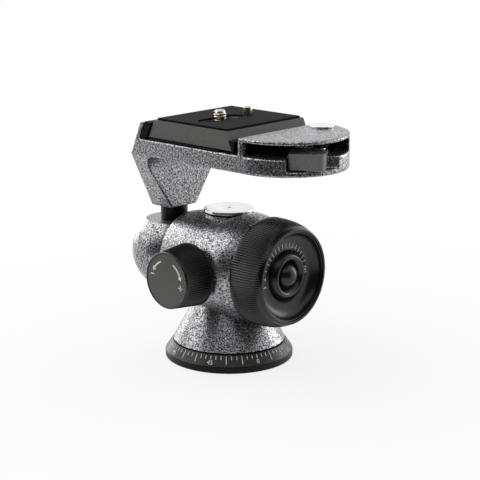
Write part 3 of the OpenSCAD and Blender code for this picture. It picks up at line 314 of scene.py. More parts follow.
class Blank:
    """A mesh under work, in millimetres."""

    def __init__(self) -> None:
        """Starts an empty mesh."""
        self.bm = bmesh.new()

    @classmethod
    def of_node(cls, node: str) -> Blank:
        """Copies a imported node's mesh.

        Args:
            node: The node's name.

        Returns:
            The copy, with its loose triangles joined and flat faces made whole.
        """
        blank = cls()
        blank.bm.from_mesh(FRAME["nodes"][node].data)
        bmesh.ops.scale(blank.bm, vec=(1 / MM,) * 3, verts=blank.bm.verts)
        bmesh.ops.remove_doubles(blank.bm, verts=blank.bm.verts, dist=MERGE_MM)
        bmesh.ops.dissolve_limit(
            blank.bm, angle_limit=math.radians(FLAT_DEGREES), verts=blank.bm.verts, edges=blank.bm.edges
        )
        return blank

    def turn(self, outline: Sequence[Point], steps: int = TURN_STEPS, closed: bool = False) -> Blank:
        """Spins an outline about Z.

        Args:
            outline: Points as radius and height.
            steps: How many steps one turn has.
            closed: Whether the last point joins the first.

        Returns:
            This blank.
        """
        verts = [self.bm.verts.new((radius, 0, height)) for radius, height in outline]
        follow = verts[1:] + verts[:1] if closed else verts[1:]
        edges = [self.bm.edges.new(pair) for pair in zip(verts, follow)]
        bmesh.ops.spin(
            self.bm, geom=verts + edges, axis=(0, 0, 1), angle=FULL_TURN, steps=steps, use_merge=True
        )
        bmesh.ops.remove_doubles(self.bm, verts=self.bm.verts, dist=MERGE_MM)
        bmesh.ops.recalc_face_normals(self.bm, faces=self.bm.faces)
        return self

    def bevel(self, width: float, segments: int = 3, angle: float = 30.0) -> Blank:
        """Rounds the sharp edges.

        Args:
            width: Width of the round.
            segments: How many faces the round has across.
            angle: Edges with a sharper angle than this are rounded, in degrees.

        Returns:
            This blank.
        """
        least = math.radians(angle)
        sharp = [e for e in self.bm.edges if e.is_manifold and e.calc_face_angle() > least]
        bmesh.ops.bevel(
            self.bm,
            geom=sharp,
            offset=width,
            offset_type="OFFSET",
            segments=segments,
            profile=0.5,
            affect="EDGES",
            clamp_overlap=True,
            material=-1,
        )
        return self

    def recast(self, pitch: float, passes: int) -> Blank:
        """Remakes the shape as one skin of even faces with the soft edges of a casting.

        Args:
            pitch: Size of a face.
            passes: How often the skin is smoothed.

        Returns:
            This blank.
        """
        mesh = bpy.data.meshes.new("casting")
        self.bm.to_mesh(mesh)
        held = bpy.data.objects.new("casting", mesh)
        bpy.context.scene.collection.objects.link(held)
        remesh = held.modifiers.new("skin", "REMESH")
        remesh.mode, remesh.voxel_size = "VOXEL", pitch
        skin = bpy.data.meshes.new_from_object(held.evaluated_get(bpy.context.evaluated_depsgraph_get()))
        bpy.data.objects.remove(held)
        self.bm.clear()
        self.bm.from_mesh(skin)
        bpy.data.meshes.remove(mesh)
        bpy.data.meshes.remove(skin)
        for _ in range(passes):
            bmesh.ops.smooth_vert(
                self.bm, verts=self.bm.verts, factor=0.5, use_axis_x=True, use_axis_y=True, use_axis_z=True
            )
        return self

    def flute(self, count: int, depth: float, low: float, high: float, inside: float) -> Blank:
        """Presses ribs into the side of a turned knob.

        Args:
            count: How many ribs there are.
            depth: Depth of the valleys.
            low: Height at which the ribs start.
            high: Height at which they end.
            inside: Radius inside which nothing changes.

        Returns:
            This blank.
        """
        run_out_share = 0.12
        run_out = run_out_share * (high - low)
        for vert in self.bm.verts:
            radius = vert.co.xy.length
            reach = min(vert.co.z - low, high - vert.co.z) / run_out
            if radius < inside or reach <= 0:
                continue
            valley = 1 - abs(math.cos(count * math.atan2(vert.co.y, vert.co.x) / 2))
            vert.co.xy *= 1 - depth * valley * min(reach, 1.0) / radius
        return self

    def place(self, matrix: Matrix) -> Blank:
        """Moves the whole blank."""
        self.bm.transform(matrix)
        return self

    def piece(
        self, name: str, finish: Finish, body: str, *nodes: str, even: bool = True
    ) -> bpy.types.Object:
        """Ends the work on the mesh and makes it a piece of the object.

        Args:
            name: Name of the piece.
            finish: Its surface.
            body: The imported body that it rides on.
            nodes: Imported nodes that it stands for.
            even: Whether flat faces keep their own shading beside rounded edges.

        Returns:
            The piece.
        """
        bmesh.ops.scale(self.bm, vec=(MM,) * 3, verts=self.bm.verts)
        mesh = bpy.data.meshes.new(name)
        self.bm.to_mesh(mesh)
        self.bm.free()
        mesh.polygons.foreach_set("use_smooth", [True] * len(mesh.polygons))
        mesh.materials.append(finish.material())
        made = bpy.data.objects.new(name, mesh)
        bpy.context.scene.collection.objects.link(made)
        if even:
            made.modifiers.new("even_shading", "WEIGHTED_NORMAL")
        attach(made, body)
        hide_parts(*nodes)
        LOG.info("%s: %d faces on %s", name, len(mesh.polygons), body)
        return made


class Marks(Blank):
    """Printed marks, a thin layer of ink in the XY plane."""

    def bar(self, width: float, length: float, at: Matrix) -> None:
        """Adds a bar that is long in X."""
        bmesh.ops.create_cube(self.bm, size=1, matrix=at @ Matrix.Diagonal((length, width, INK_MM, 1)))

    def numeral(self, text: str, height: float, at: Matrix) -> None:
        """Adds a number.

        Args:
            text: The digits.
            height: Height of the digits.
            at: Where the middle of the number goes.
        """
        digit_share = 0.7
        curve = bpy.data.curves.new("numeral", "FONT")
        curve.body, curve.size, curve.extrude = text, height / digit_share, INK_MM / 2
        curve.align_x, curve.align_y, curve.resolution_u = "CENTER", "CENTER", 3
        held = bpy.data.objects.new("numeral", curve)
        bpy.context.scene.collection.objects.link(held)
        flat = bpy.data.meshes.new_from_object(held.evaluated_get(bpy.context.evaluated_depsgraph_get()))
        flat.transform(at)
        self.bm.from_mesh(flat)
        bpy.data.objects.remove(held)
        bpy.data.meshes.remove(flat)
        bpy.data.curves.remove(curve)

    def arc(self, radius: float, width: float, start: float, end: float) -> list[bmesh.types.BMFace]:
        """Adds a flat curved band.

        Args:
            radius: Radius of its middle line.
            width: Its width.
            start: Angle of its first end, in degrees.
            end: Angle of its last end, in degrees.

        Returns:
            Its faces.
        """
        turned = Matrix.Rotation(math.radians(start), 4, "Z")
        ends = [self.bm.verts.new(turned @ Vector((radius + s * width / 2, 0, 0))) for s in (-1, 1)]
        edge = self.bm.edges.new(ends)
        before = len(self.bm.faces)
        fewest, degrees_per_step = 6, 4
        steps = max(fewest, round(abs(end - start) / degrees_per_step))
        bmesh.ops.spin(
            self.bm, geom=[*ends, edge], axis=(0, 0, 1), angle=math.radians(end - start), steps=steps
        )
        bmesh.ops.remove_doubles(self.bm, verts=self.bm.verts, dist=MERGE_MM)
        self.bm.faces.ensure_lookup_table()
        return self.bm.faces[before:]

    def arrow(self, radius: float, width: float, start: float, end: float) -> None:
        """Adds a curved arrow with its head at the end angle.

        Args:
            radius: Radius of its middle line.
            width: Width of its shaft.
            start: Angle where it starts, in degrees.
            end: Angle where its head begins, in degrees.
        """
        self.arc(radius, width, start, end)
        way = math.copysign(1.0, end - start)
        turned = Matrix.Rotation(math.radians(end), 4, "Z")
        half_head, lean, head_length = 1.6, -0.1, 2.6
        head = ((-half_head, 0), (half_head, 0), (lean, head_length))
        points = [(radius + x * width, way * y * width, 0) for x, y in head]
        self.bm.faces.new([self.bm.verts.new(turned @ Vector(point)) for point in points])

    def thicken(self) -> None:
        """Gives flat faces the thickness of the ink."""
        bmesh.ops.recalc_face_normals(self.bm, faces=self.bm.faces)
        made = bmesh.ops.extrude_face_region(self.bm, geom=self.bm.faces[:])
        moved = [v for v in made["geom"] if isinstance(v, bmesh.types.BMVert)]
        bmesh.ops.translate(self.bm, vec=(0, 0, INK_MM), verts=moved)
        bmesh.ops.recalc_face_normals(self.bm, faces=self.bm.faces)

    def bend(self, mapping: Callable[[Vector], Vector]) -> None:
        """Lays the flat marks on a curved face."""
        for vert in self.bm.verts:
            vert.co = mapping(vert.co)


def corners(node: str) -> tuple[Vector, Vector]:
    """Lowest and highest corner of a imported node, in millimetres."""
    low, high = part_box(node)
    return low / MM, high / MM


def mount_radius(mount: str) -> float:
    """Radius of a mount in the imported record, in millimetres."""
    found = next(m for m in FRAME["record"]["mounts"] if m["name"] == mount)
    return found["dims"]["r_mm"]


def dress(finish: Finish, *nodes: str) -> None:
    """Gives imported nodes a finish, with their shape as it is.

    Args:
        finish: The surface.
        nodes: Names of the nodes.
    """
    for node in nodes:
        mesh = FRAME["nodes"][node].data
        mesh.materials.clear()
        mesh.materials.append(finish.material())
        LOG.info("%s: packed node with %s", node, finish.name)


def soften(node: str, name: str, finish: Finish, body: str, width: float) -> bpy.types.Object:
    """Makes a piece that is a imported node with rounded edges.

    Args:
        node: The node.
        name: Name of the piece.
        finish: Its surface.
        body: The body that it rides on.
        width: Width of the rounds.

    Returns:
        The piece.
    """
    return Blank.of_node(node).bevel(width).piece(name, finish, body, node)


def along_x(height: float) -> Matrix:
    """Turns +Z onto +X at a height, with the local X to the right as seen from the front."""
    turned = Matrix.Rotation(math.pi / 2, 4, "Z") @ Matrix.Rotation(math.pi / 2, 4, "X")
    return Matrix.Translation((0, 0, height)) @ turned


def along_front(height: float) -> Matrix:
    """Turns +Z onto -Y at a height, with the local X to the right as seen from the front."""
    return Matrix.Translation((0, 0, height)) @ Matrix.Rotation(math.pi / 2, 4, "X")


@dataclass
class Base:
    """The fixed base: wall, graduated ring, rubber ring and spindle."""

    body: str = "base"
    edge: float = 0.25
    zero_angle: float = -19.5
    tick_step: int = 5
    long_step: int = 15
    label_step: int = 45
    tick_width: float = 0.42
    tick_start: float = 0.65
    short_tick: float = 1.9
    long_tick: float = 4.3
    digit_height: float = 2.3
    digit_middle: float = 4.3
    top_r: float = 28.8

    def build(self) -> None:
        """Builds and dresses the base."""
        soften("base_plate", "base_wall", ANODISED, self.body, self.edge)
        soften("base_pad", "base_rubber_ring", RUBBER, self.body, self.edge)
        self.ring()
        dress(STEEL, "pan_spindle", "base_screws", "spindle_washer", "spindle_nut")
        dress(ACETAL, "thrust_washer")

    def ring(self) -> None:
        """Builds the graduated ring and its print."""
        low, high = corners("scale_ring")
        foot_r = high.x
        inner_r = corners("pan_spindle")[1].x
        outline = [(inner_r, low.z), (foot_r, low.z), (self.top_r, high.z), (inner_r, high.z)]
        ring = Blank().turn(outline, closed=True).bevel(self.edge)
        ring.piece("graduated_ring", SCALE_GREY, self.body, "scale_ring")
        slope = Vector((self.top_r - foot_r, high.z - low.z))
        along, out = slope.normalized(), Vector((slope.y, -slope.x)).normalized()

        def on_bevel(flat: Vector) -> Vector:
            """Wraps a mark: X is the angle times the foot's radius, Y runs down from the top edge."""
            place = Vector((foot_r, low.z)) + along * (slope.length - flat.y) + out * flat.z
            turn = flat.x / foot_r
            return Vector((place.x * math.cos(turn), place.x * math.sin(turn), place.y))

        marks = Marks()
        down = Matrix.Rotation(math.pi / 2, 4, "Z")
        for angle in range(0, 360, self.tick_step):
            around = foot_r * math.radians(self.zero_angle - angle)
            labelled = angle % self.label_step == 0
            long = angle % self.long_step == 0 and not labelled
            length = self.long_tick if long else self.short_tick
            marks.bar(
                self.tick_width,
                length,
                Matrix.Translation((around, self.tick_start + length / 2, 0)) @ down,
            )
            if labelled:
                middle = Matrix.Translation((around, self.digit_middle, 0))
                marks.numeral(str(angle), self.digit_height, middle @ Matrix.Diagonal((1, -1, 1, 1)))
        marks.bend(on_bevel)
        bmesh.ops.recalc_face_normals(marks.bm, faces=marks.bm.faces)
        marks.piece("graduations", INK, self.body, even=False)


@dataclass
class Barrel:
    """The turning body: casting, cap and what the casting holds."""

    body: str = "body"
    cast_edge: float = 0.45
    cap_edge: float = 0.3

    def build(self) -> None:
        """Builds and dresses the body."""
        soften("housing", "barrel_casting", HAMMERTONE, self.body, self.cast_edge)
        soften("top_cap", "polished_cap", POLISHED, self.body, self.cap_edge)
        soften("cap_seal", "cap_seal_ring", RUBBER, self.body, self.cap_edge)
        dress(BRONZE, "lower_bush", "upper_bush", "knob_washer")
        dress(BRASS, "pan_lock_bush")
        dress(ANODISED, "end_cover")
        dress(STEEL, "cover_screws", "disc_springs")
        dress(ACETAL, "ball_seat")


@dataclass
class Ball:
    """The hollow ball, its plug and neck, and the drawbar that locks it."""

    body: str = "ball"
    neck_edge: float = 0.35

    def build(self) -> None:
        """Builds and dresses the ball."""
        soften("ball_shell", "ball_casting", HAMMERTONE, self.body, self.neck_edge)
        soften("ball_plug", "ball_end_plug", HAMMERTONE, self.body, self.neck_edge)
        soften("neck", "neck_post", ANODISED, self.body, self.neck_edge)
        dress(STEEL, "clamp_head", "clamp_rod", "lock_stud")
        dress(TURNED_ALLOY, "lock_piston")


@dataclass
class TiltLock:
    """The ribbed knob at the end of the barrel, with its dished dial and dome."""

    body: str = "tilt_lock"
    ribs: int = 132
    rib_depth: float = 0.42
    faces_per_rib: int = 8
    rim: float = 1.3
    rib_end: float = 1.6
    rib_clear: float = 1.0
    edge: float = 0.25
    nut_r: float = 8.05
    nut_flange_r: float = 10.45
    nut_flange: float = 1.5
    hub_r: float = 13.0
    hollow_r: float = 21.8
    web: float = 4.0
    dish: float = 6.0
    dish_lip: float = 0.6
    dish_wall: float = 6.9
    ring_height: float = 4.0
    ring_gap: float = 0.5
    ring_width: float = 5.8
    ring_sweep: float = 162.0
    tick_r: Point = (13.5, 17.0)
    tick_width: float = 0.36
    ticks: int = 14
    tick_angles: Point = (17.0, 148.0)
    digits_at: float = 15.2
    digit_angles: tuple[float, ...] = (162.0, 178.0, 194.0)
    digit_height: float = 2.6
    spot_r: Point = (1.7, 0.55)

    def build(self) -> None:
        """Builds and dresses the tilt lock."""
        low, high = corners("tilt_knob")
        self.back, self.front = low.x, high.x
        self.axis = along_x((low.z + high.z) / 2)
        self.back_r = (high.z - low.z) / 2
        dial_low, dial_high = corners("tilt_dial")
        self.dial_r = (dial_high.z - dial_low.z) / 2
        self.dial_back = dial_low.x
        dome_low, dome_high = corners("tilt_dome")
        self.dome_r = (dome_high.z - dome_low.z) / 2
        self.dome_x = (dome_low.x, dome_high.x)
        self.floor = self.front - self.dish
        self.knob()
        self.dial()
        self.dome()
        self.print()
        dress(BRASS, "tilt_nut")

    def knob(self) -> None:
        """Builds the ribbed knob."""
        rows = 14
        front_r = self.dial_r + self.rim
        side = [
            (
                self.back_r - (self.back_r - front_r) * (i / rows) ** 3,
                self.back + self.edge + i / rows * (self.front - self.back - self.edge),
            )
            for i in range(rows + 1)
        ]
        web_x = self.dial_back - self.web
        flange_x = self.back + self.nut_flange
        outline = [
            (self.nut_r, flange_x),
            (self.nut_flange_r, flange_x),
            (self.nut_flange_r, self.back),
            (self.hub_r, self.back),
            (self.hub_r, web_x),
            (self.hollow_r, web_x),
            (self.hollow_r, self.back),
            (self.back_r - self.edge, self.back),
            *side,
            (self.dial_r, self.front),
            (self.dial_r, self.dial_back),
            (self.nut_r, self.dial_back),
        ]
        knob = Blank().turn(outline, steps=self.ribs * self.faces_per_rib, closed=True)
        knob.bevel(self.edge, segments=2)
        start, end = self.back + self.edge, self.front - self.rib_end
        knob.flute(self.ribs, self.rib_depth, start, end, self.hollow_r + self.rib_clear)
        knob.place(self.axis).piece("tilt_knob_ribbed", KNOB_BLACK, self.body, "tilt_knob")

    def dial(self) -> None:
        """Builds the dished dial with its raised ring."""
        steps = 20
        top = self.front - self.dish_lip
        wall_r = self.dial_r - self.dish_wall
        rise = self.dish - self.dish_lip
        wall = [
            (
                wall_r + (self.dial_r - self.rim / 2 - wall_r) * math.sin(a),
                top - rise * math.cos(a),
            )
            for a in (i / steps * math.pi / 2 for i in range(steps, -1, -1))
        ]
        ring_in = self.dome_r + self.ring_gap
        ring = [
            (
                ring_in + self.ring_width * (1 - i / steps),
                self.floor + self.ring_height * math.sin(math.radians(self.ring_sweep) * i / steps),
            )
            for i in range(steps + 1)
        ]
        outline = [
            (0, self.dial_back),
            (self.dial_r, self.dial_back),
            (self.dial_r, top),
            *wall,
            *ring,
            (ring_in, self.dome_x[0]),
            (0, self.dome_x[0]),
        ]
        dial = Blank().turn(outline, steps=TURN_STEPS)
        dial.place(self.axis).piece("tilt_dial_dished", DIAL_BLACK, self.body, "tilt_dial", even=False)

    def dome(self) -> None:
        """Builds the dome in the middle of the dial."""
        steps = 24
        low, high = self.dome_x
        rise = high - low
        sphere_r = (self.dome_r**2 + rise**2) / (2 * rise)
        half = math.asin(self.dome_r / sphere_r)
        cap = [
            (sphere_r * math.sin(a), high - sphere_r * (1 - math.cos(a)))
            for a in (half * i / steps for i in range(steps, -1, -1))
        ]
        dome = Blank().turn([(0, low), *cap])
        dome.place(self.axis).piece("tilt_dome_cap", DIAL_BLACK, self.body, "tilt_dome")

    def print(self) -> None:
        """Prints the dial's ticks, its numbers and the ring mark beside them."""
        marks = Marks()
        flat = Matrix.Translation((0, 0, self.floor))
        first, last = self.tick_angles
        for i in range(self.ticks):
            turned = Matrix.Rotation(math.radians(first + (last - first) * i / (self.ticks - 1)), 4, "Z")
            middle = Matrix.Translation((sum(self.tick_r) / 2, 0, 0))
            marks.bar(self.tick_width, self.tick_r[1] - self.tick_r[0], flat @ turned @ middle)
        for digit, angle in enumerate(self.digit_angles, 1):
            turned = Matrix.Rotation(math.radians(angle), 4, "Z")
            upright = Matrix.Rotation(-math.pi / 2, 4, "Z")
            at = flat @ turned @ Matrix.Translation((self.digits_at, 0, 0)) @ upright
            marks.numeral(str(digit), self.digit_height, at)
        marks.place(self.axis)
        marks.piece("tilt_dial_marks", INK, self.body, even=False)
        spot = Marks()
        outer, inner = self.spot_r
        spot.arc(outer - self.tick_width / 2, self.tick_width, 0, 360)
        spot.arc(inner / 2, inner, 0, 360)
        spot.thicken()
        spot.place(self.axis @ Matrix.Translation((self.digits_at, 0, self.floor)))
        spot.piece("tilt_dial_ring_mark", INK, self.body, even=False)


@dataclass
class PanLock:
    """The small ribbed knob on the side of the barrel, with its spun face."""

    body: str = "pan_lock"
    ribs: int = 72
    rib_depth: float = 0.42
    faces_per_rib: int = 8
    edge: float = 0.3
    face_lip: float = 0.4
    bore_r: float = 3.05
    groove: float = 0.07
    groove_depth: float = 0.014
    arrow_r: float = 9.7
    arrow_width: float = 0.8
    left_arrow: Point = (112.0, 146.0)
    right_arrow: Point = (62.0, 20.0)
    sign_r: float = 9.7
    minus_angle: float = 168.0
    plus_angle: float = -12.0
    sign_length: float = 2.6
    sign_width: float = 0.56

    def build(self) -> None:
        """Builds and dresses the pan lock."""
        low, high = corners("pan_knob")
        self.axis = along_front((low.z + high.z) / 2)
        self.back, self.front = -high.y, -low.y
        self.back_r = (high.x - low.x) / 2
        face_low, face_high = corners("pan_knob_face")
        self.disc_r = (face_high.x - face_low.x) / 2
        self.disc = (-face_high.y, -face_low.y)
        self.knob()
        self.face()
        self.print()
        dress(STEEL, "pan_stud")
        dress(BRASS, "pan_shoe")

    def knob(self) -> None:
        """Builds the ribbed knob."""
        rows = 8
        front_r = self.disc_r + 2 * self.face_lip
        start = self.back + self.edge
        length = self.front - self.back - 2 * self.edge
        side = [
            (self.back_r + (front_r - self.back_r) * i / rows, start + i / rows * length)
            for i in range(rows + 1)
        ]
        outline = [
            (self.bore_r, self.back),
            (self.back_r - self.edge, self.back),
            *side,
            (front_r - self.edge, self.front),
            (self.disc_r, self.front),
            (self.disc_r, self.disc[0]),
            (self.bore_r, self.disc[0]),
        ]
        knob = Blank().turn(outline, steps=self.ribs * self.faces_per_rib, closed=True)
        end = self.front - 2 * self.edge
        knob.flute(self.ribs, self.rib_depth, start, end, self.disc_r + self.face_lip)
        knob.place(self.axis).piece("pan_knob_ribbed", KNOB_BLACK, self.body, "pan_knob")

    def face(self) -> None:
        """Builds the spun face with its rings of tool marks."""
        back, front = self.disc
        rings = int((self.disc_r - self.edge) / self.groove)
        tool_marks = [
            (i * self.groove, front - (self.groove_depth if i % 2 else 0.0)) for i in range(rings, 0, -1)
        ]
        outline = [
            (0, back),
            (self.disc_r, back),
            (self.disc_r, front - self.edge / 2),
            (self.disc_r - self.edge / 2, front),
            *tool_marks,
            (0, front),
        ]
        face = Blank().turn(outline)
        face.place(self.axis).piece("pan_knob_spun_face", PAN_DISC, self.body, "pan_knob_face", even=False)

    def print(self) -> None:
        """Prints the two arrows with a minus and a plus."""
        arrows = Marks()
        arrows.arrow(self.arrow_r, self.arrow_width, *self.left_arrow)
        arrows.arrow(self.arrow_r, self.arrow_width, *self.right_arrow)
        arrows.thicken()
        arrows.place(self.axis @ Matrix.Translation((0, 0, self.disc[1])))
        arrows.piece("pan_knob_arrows", INK, self.body, even=False)
        signs = Marks()
        for angle, bars in ((self.minus_angle, (0.0,)), (self.plus_angle, (0.0, 90.0))):
            spot = Vector((math.cos(math.radians(angle)), math.sin(math.radians(angle)), 0)) * self.sign_r
            for turn in bars:
                turned = Matrix.Rotation(math.radians(turn), 4, "Z")
                signs.bar(self.sign_width, self.sign_length, Matrix.Translation(spot) @ turned)
        signs.place(self.axis @ Matrix.Translation((0, 0, self.disc[1])))
        signs.piece("pan_knob_signs", INK, self.body, even=False)


@dataclass
class Arch:
    """The arched platform with its jaws, lever and pivot."""

    body: str = "arch"
    lever_body: str = "clamp_lever"
    jaw_body: str = "jaw"
    edge: float = 0.3
    lever_edge: float = 0.5
    skin: float = 0.53
    passes: int = 2

    def build(self) -> None:
        """Builds and dresses the platform."""
        casting = Blank.of_node("platform").recast(self.skin, self.passes)
        casting.piece("platform_casting", HAMMERTONE, self.body, "platform", even=False)
        soften("fixed_jaw", "fixed_jaw_strip", BLACK_OF_JAWS_AND_BAND, self.body, self.edge)
        # The sheet under the plate is matt black and makes the dark band between the plate and the casting.
        soften("bed_liner", "dark_band_under_plate", BLACK_OF_JAWS_AND_BAND, self.body, self.edge)
        soften("lever_pivot", "lever_pivot_disc", POLISHED, self.body, self.edge)
        soften("lever", "clamp_lever_arm", LEVER_GREY, self.lever_body, self.lever_edge)
        soften("lever_rivet", "clamp_lever_rivet", POLISHED, self.lever_body, self.edge / 2)
        soften("moving_jaw", "moving_jaw_bar", BLACK_OF_JAWS_AND_BAND, self.jaw_body, self.edge)
        dress(STEEL, "lever_spring", "neck_grub_screw")


@dataclass
class CameraPlate:
    """The quick-release plate with its rubber pad, camera screw and pin."""

    body: str = "plate"
    edge: float = 0.45
    pad_edge: float = 0.3
    thread_pitch: float = 1.27
    thread_depth: float = 0.62
    thread_steps: int = 32
    thread_half: float = 0.45
    thread_sunk: float = 0.05
    tip: float = 0.5
    pin_travel: float = 3.4

    def build(self) -> None:
        """Builds and dresses the plate."""
        soften("camera_plate", "camera_plate_body", PLATE_GREY, self.body, self.edge)
        soften("plate_pad", "camera_plate_pad", RUBBER, self.body, self.pad_edge)
        self.screw()
        soften("video_pin", "video_pin_post", GILT, "pin", self.pad_edge)
        self.spring()
        dress(STEEL, "pin_plug", "screw_retainer")

    def spring(self) -> None:
        """Builds the coil under the pin."""
        wire = Blank.of_node("pin_spring")
        coil = wire.piece("pin_coil_spring", STEEL, self.body, "pin_spring", even=False)
        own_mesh(coil)

    def screw(self) -> None:
        """Builds the camera screw with its thread."""
        low, high = corners("camera_screw")
        pad_top = corners("plate_pad")[1].z
        middle = (low + high) / 2
        crest_r = mount_radius("camera_thread")
        core_r = crest_r - self.thread_depth
        head = Blank.of_node("camera_screw")
        cut = bmesh.ops.bisect_plane(
            head.bm,
            geom=head.bm.verts[:] + head.bm.edges[:] + head.bm.faces[:],
            plane_co=(0, 0, pad_top - self.tip),
            plane_no=(0, 0, 1),
            clear_outer=True,
        )
        rim = [e for e in cut["geom_cut"] if isinstance(e, bmesh.types.BMEdge)]
        bmesh.ops.holes_fill(head.bm, edges=rim)
        head.bevel(self.pad_edge)
        thread = Blank()
        thread.turn(
            [(0, pad_top - self.tip), (core_r, pad_top - self.tip), (core_r, high.z - self.tip),
             (core_r - self.tip, high.z), (0, high.z)],
            steps=self.thread_steps,
        )  # fmt: skip
        start = pad_top - self.thread_pitch / 2
        turns = (high.z - self.tip / 2 - start) / self.thread_pitch - 1
        half = self.thread_pitch * self.thread_half
        root_r = core_r - self.thread_sunk
        tooth = [(root_r, 0, start), (crest_r, 0, start + half), (root_r, 0, start + 2 * half)]
        face = thread.bm.faces.new([thread.bm.verts.new(p) for p in tooth])
        steps = round(self.thread_steps * turns)
        bmesh.ops.spin(
            thread.bm,
            geom=[face, *face.edges, *face.verts],
            axis=(0, 0, 1),
            angle=FULL_TURN * turns,
            steps=steps,
            dvec=(0, 0, self.thread_pitch * turns / steps),
        )
        bmesh.ops.recalc_face_normals(thread.bm, faces=thread.bm.faces)
        thread.place(Matrix.Translation((middle.x, middle.y, 0)))
        head.piece("camera_screw_head", GILT, "screw", "camera_screw")
        thread.piece("camera_screw_thread", GILT, "screw", even=False)


@dataclass
class Lamp:
    """A soft lamp: where it hangs, how large and how strong it is. Metres and watts."""

    name: str
    place: tuple[float, float, float]
    size: Point
    power: float
    aim: tuple[float, float, float] = (0.0, 0.0, 0.06)

    def hang(self) -> None:
        """Adds the lamp."""
        light = bpy.data.lights.new(self.name, "AREA")
        light.shape, light.energy = "RECTANGLE", self.power
        light.size, light.size_y = self.size
        made = bpy.data.objects.new(self.name, light)
        made.location = self.place
        made.rotation_euler = (Vector(self.aim) - Vector(self.place)).to_track_quat("-Z", "Y").to_euler()
        bpy.context.scene.collection.objects.link(made)


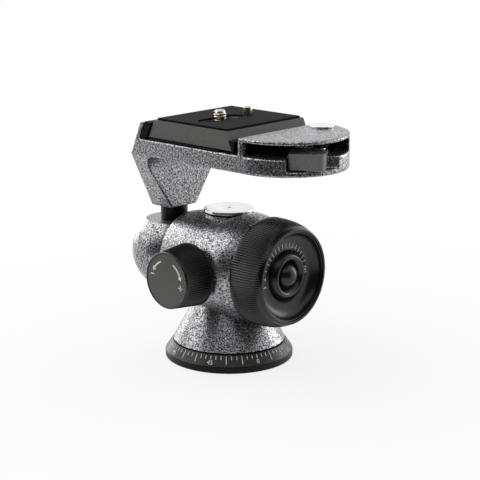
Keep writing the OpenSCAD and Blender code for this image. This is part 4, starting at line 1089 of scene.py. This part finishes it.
@dataclass
class Studio:
    """Pale floor, soft lamps and the camera. Metres, degrees and watts."""

    floor_size: float = 6.0
    floor_colour: str = "#F4F4F4"
    floor_glow: Point = (0.82, 1.0)
    floor_reach: Point = (0.06, 0.3)
    fill: float = 0.5
    flag_colour: str = "#5A5A5A"
    flag_arc: Point = (-82.0, 62.0)
    flag_reach: Point = (0.24, 1.1)
    flag_height: float = 0.9
    flag_steps: int = 24
    azimuth: float = 43.1
    elevation: float = 14.0
    distance: float = 0.72
    aim: tuple[float, float, float] = (0.0, 0.0, 0.065)
    lens: float = 107.55
    sensor: float = 36.0
    shift: Point = (0.0227, -0.0196)
    lamps: tuple[Lamp, ...] = (
        Lamp("key_softbox", (-0.42, -0.34, 0.55), (0.8, 0.8), 2.6),
        Lamp("left_softbox", (-0.6, 0.1, 0.16), (0.35, 0.45), 1.3),
        Lamp("right_softbox", (0.22, 0.6, 0.2), (0.35, 0.45), 1.3),
    )

    def build(self) -> None:
        """Builds the studio."""
        bpy.context.scene.view_settings.view_transform = "Standard"
        self.world()
        self.floor()
        self.flag()
        for lamp in self.lamps:
            lamp.hang()
        self.camera()

    def seen(self, tree: bpy.types.NodeTree) -> bpy.types.NodeSocket:
        """Adds the test for rays that show the background.

        Args:
            tree: The node tree to add to.

        Returns:
            A socket that is 1 for camera, glossy and transmission rays.
        """
        path = add_node(tree, "ShaderNodeLightPath")
        either = add_node(
            tree,
            "ShaderNodeMath",
            links={0: path.outputs["Is Camera Ray"], 1: path.outputs["Is Glossy Ray"]},
            operation="MAXIMUM",
        )
        return add_node(
            tree,
            "ShaderNodeMath",
            links={0: either.outputs[0], 1: path.outputs["Is Transmission Ray"]},
            operation="MAXIMUM",
        ).outputs[0]

    def world(self) -> None:
        """Makes the background white to look at and a soft fill for the light."""
        world = bpy.data.worlds.new("white_studio")
        bpy.context.scene.world = world
        world.use_nodes = True
        tree = world.node_tree
        strength = add_node(
            tree, "ShaderNodeMapRange", {"To Min": self.fill, "To Max": 1.0}, {"Value": self.seen(tree)}
        )
        background = tree.nodes["Background"]
        background.inputs["Color"].default_value = (1, 1, 1, 1)
        tree.links.new(strength.outputs["Result"], background.inputs["Strength"])

    def floor(self) -> None:
        """Lays the pale floor, which glows to the camera and keeps the shadow."""
        bm = bmesh.new()
        bmesh.ops.create_grid(bm, x_segments=1, y_segments=1, size=self.floor_size / 2)
        mesh = bpy.data.meshes.new("floor")
        bm.to_mesh(mesh)
        bm.free()
        made = bpy.data.materials.new("pale_floor_paint")
        made.use_nodes = True
        tree = made.node_tree
        tree.nodes.clear()
        matt = add_node(tree, "ShaderNodeBsdfDiffuse", {"Color": linear(self.floor_colour)})
        glow = add_node(tree, "ShaderNodeEmission", {"Strength": 1.0})
        where = add_node(tree, "ShaderNodeTexCoord").outputs["Object"]
        far = add_node(tree, "ShaderNodeVectorMath", links={0: where}, operation="LENGTH")
        (near, end), (least, most) = self.floor_reach, self.floor_glow
        share = add_node(
            tree,
            "ShaderNodeMapRange",
            {"From Min": near, "From Max": end, "To Min": least, "To Max": most},
            {"Value": far.outputs["Value"]},
        )
        shown = add_node(
            tree,
            "ShaderNodeMath",
            links={0: share.outputs["Result"], 1: self.seen(tree)},
            operation="MULTIPLY",
        )
        mixed = add_node(
            tree, "ShaderNodeMixShader", links={0: shown.outputs[0], 1: matt.outputs[0], 2: glow.outputs[0]}
        )
        add_node(tree, "ShaderNodeOutputMaterial", links={"Surface": mixed.outputs[0]})
        mesh.materials.append(made)
        floor = bpy.data.objects.new("floor", mesh)
        bpy.context.scene.collection.objects.link(floor)

    def flag(self) -> None:
        """Stands a curved grey flag behind the camera, which only the reflections on the object show."""
        near, far = self.flag_reach
        first, last = (math.radians(self.azimuth - 90 + angle) for angle in self.flag_arc)
        bm = bmesh.new()
        outline = ((near, 0, MM), (far, 0, MM), (far, 0, self.flag_height))
        verts = [bm.verts.new(point) for point in outline]
        edges = [bm.edges.new(pair) for pair in zip(verts, verts[1:])]
        bmesh.ops.rotate(bm, matrix=Matrix.Rotation(first, 3, "Z"), verts=verts)
        bmesh.ops.spin(bm, geom=verts + edges, axis=(0, 0, 1), angle=last - first, steps=self.flag_steps)
        mesh = bpy.data.meshes.new("front_flag")
        bm.to_mesh(mesh)
        bm.free()
        made = bpy.data.materials.new("grey_cloth_woven")
        made.use_nodes = True
        shader = made.node_tree.nodes["Principled BSDF"]
        shader.inputs["Base Color"].default_value = linear(self.flag_colour)
        shader.inputs["Specular IOR Level"].default_value = 0.0
        mesh.materials.append(made)
        flag = bpy.data.objects.new("front_flag", mesh)
        flag.visible_camera = flag.visible_diffuse = flag.visible_shadow = False
        bpy.context.scene.collection.objects.link(flag)

    def camera(self) -> None:
        """Sets the camera where the photograph was taken from."""
        turn, rise = math.radians(self.azimuth), math.radians(self.elevation)
        back = Vector((math.sin(turn) * math.cos(rise), -math.cos(turn) * math.cos(rise), math.sin(rise)))
        data = bpy.data.cameras.new("camera")
        data.sensor_width, data.sensor_fit, data.lens = self.sensor, "HORIZONTAL", self.lens
        data.shift_x, data.shift_y = self.shift
        made = bpy.data.objects.new("camera", data)
        made.location = Vector(self.aim) + back * self.distance
        made.rotation_euler = (-back).to_track_quat("-Z", "Y").to_euler()
        bpy.context.scene.collection.objects.link(made)
        bpy.context.scene.camera = made


def main() -> None:
    """Builds the studio and the sub-assemblies in order."""
    logging.basicConfig(level=logging.INFO, format="%(name)s: %(message)s")
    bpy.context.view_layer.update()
    for assembly in (Studio(), Base(), Barrel(), Ball(), TiltLock(), PanLock(), Arch(), CameraPlate()):
        assembly.build()
    bpy.context.view_layer.update()


if __name__ == "__main__":
    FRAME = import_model()
    main()
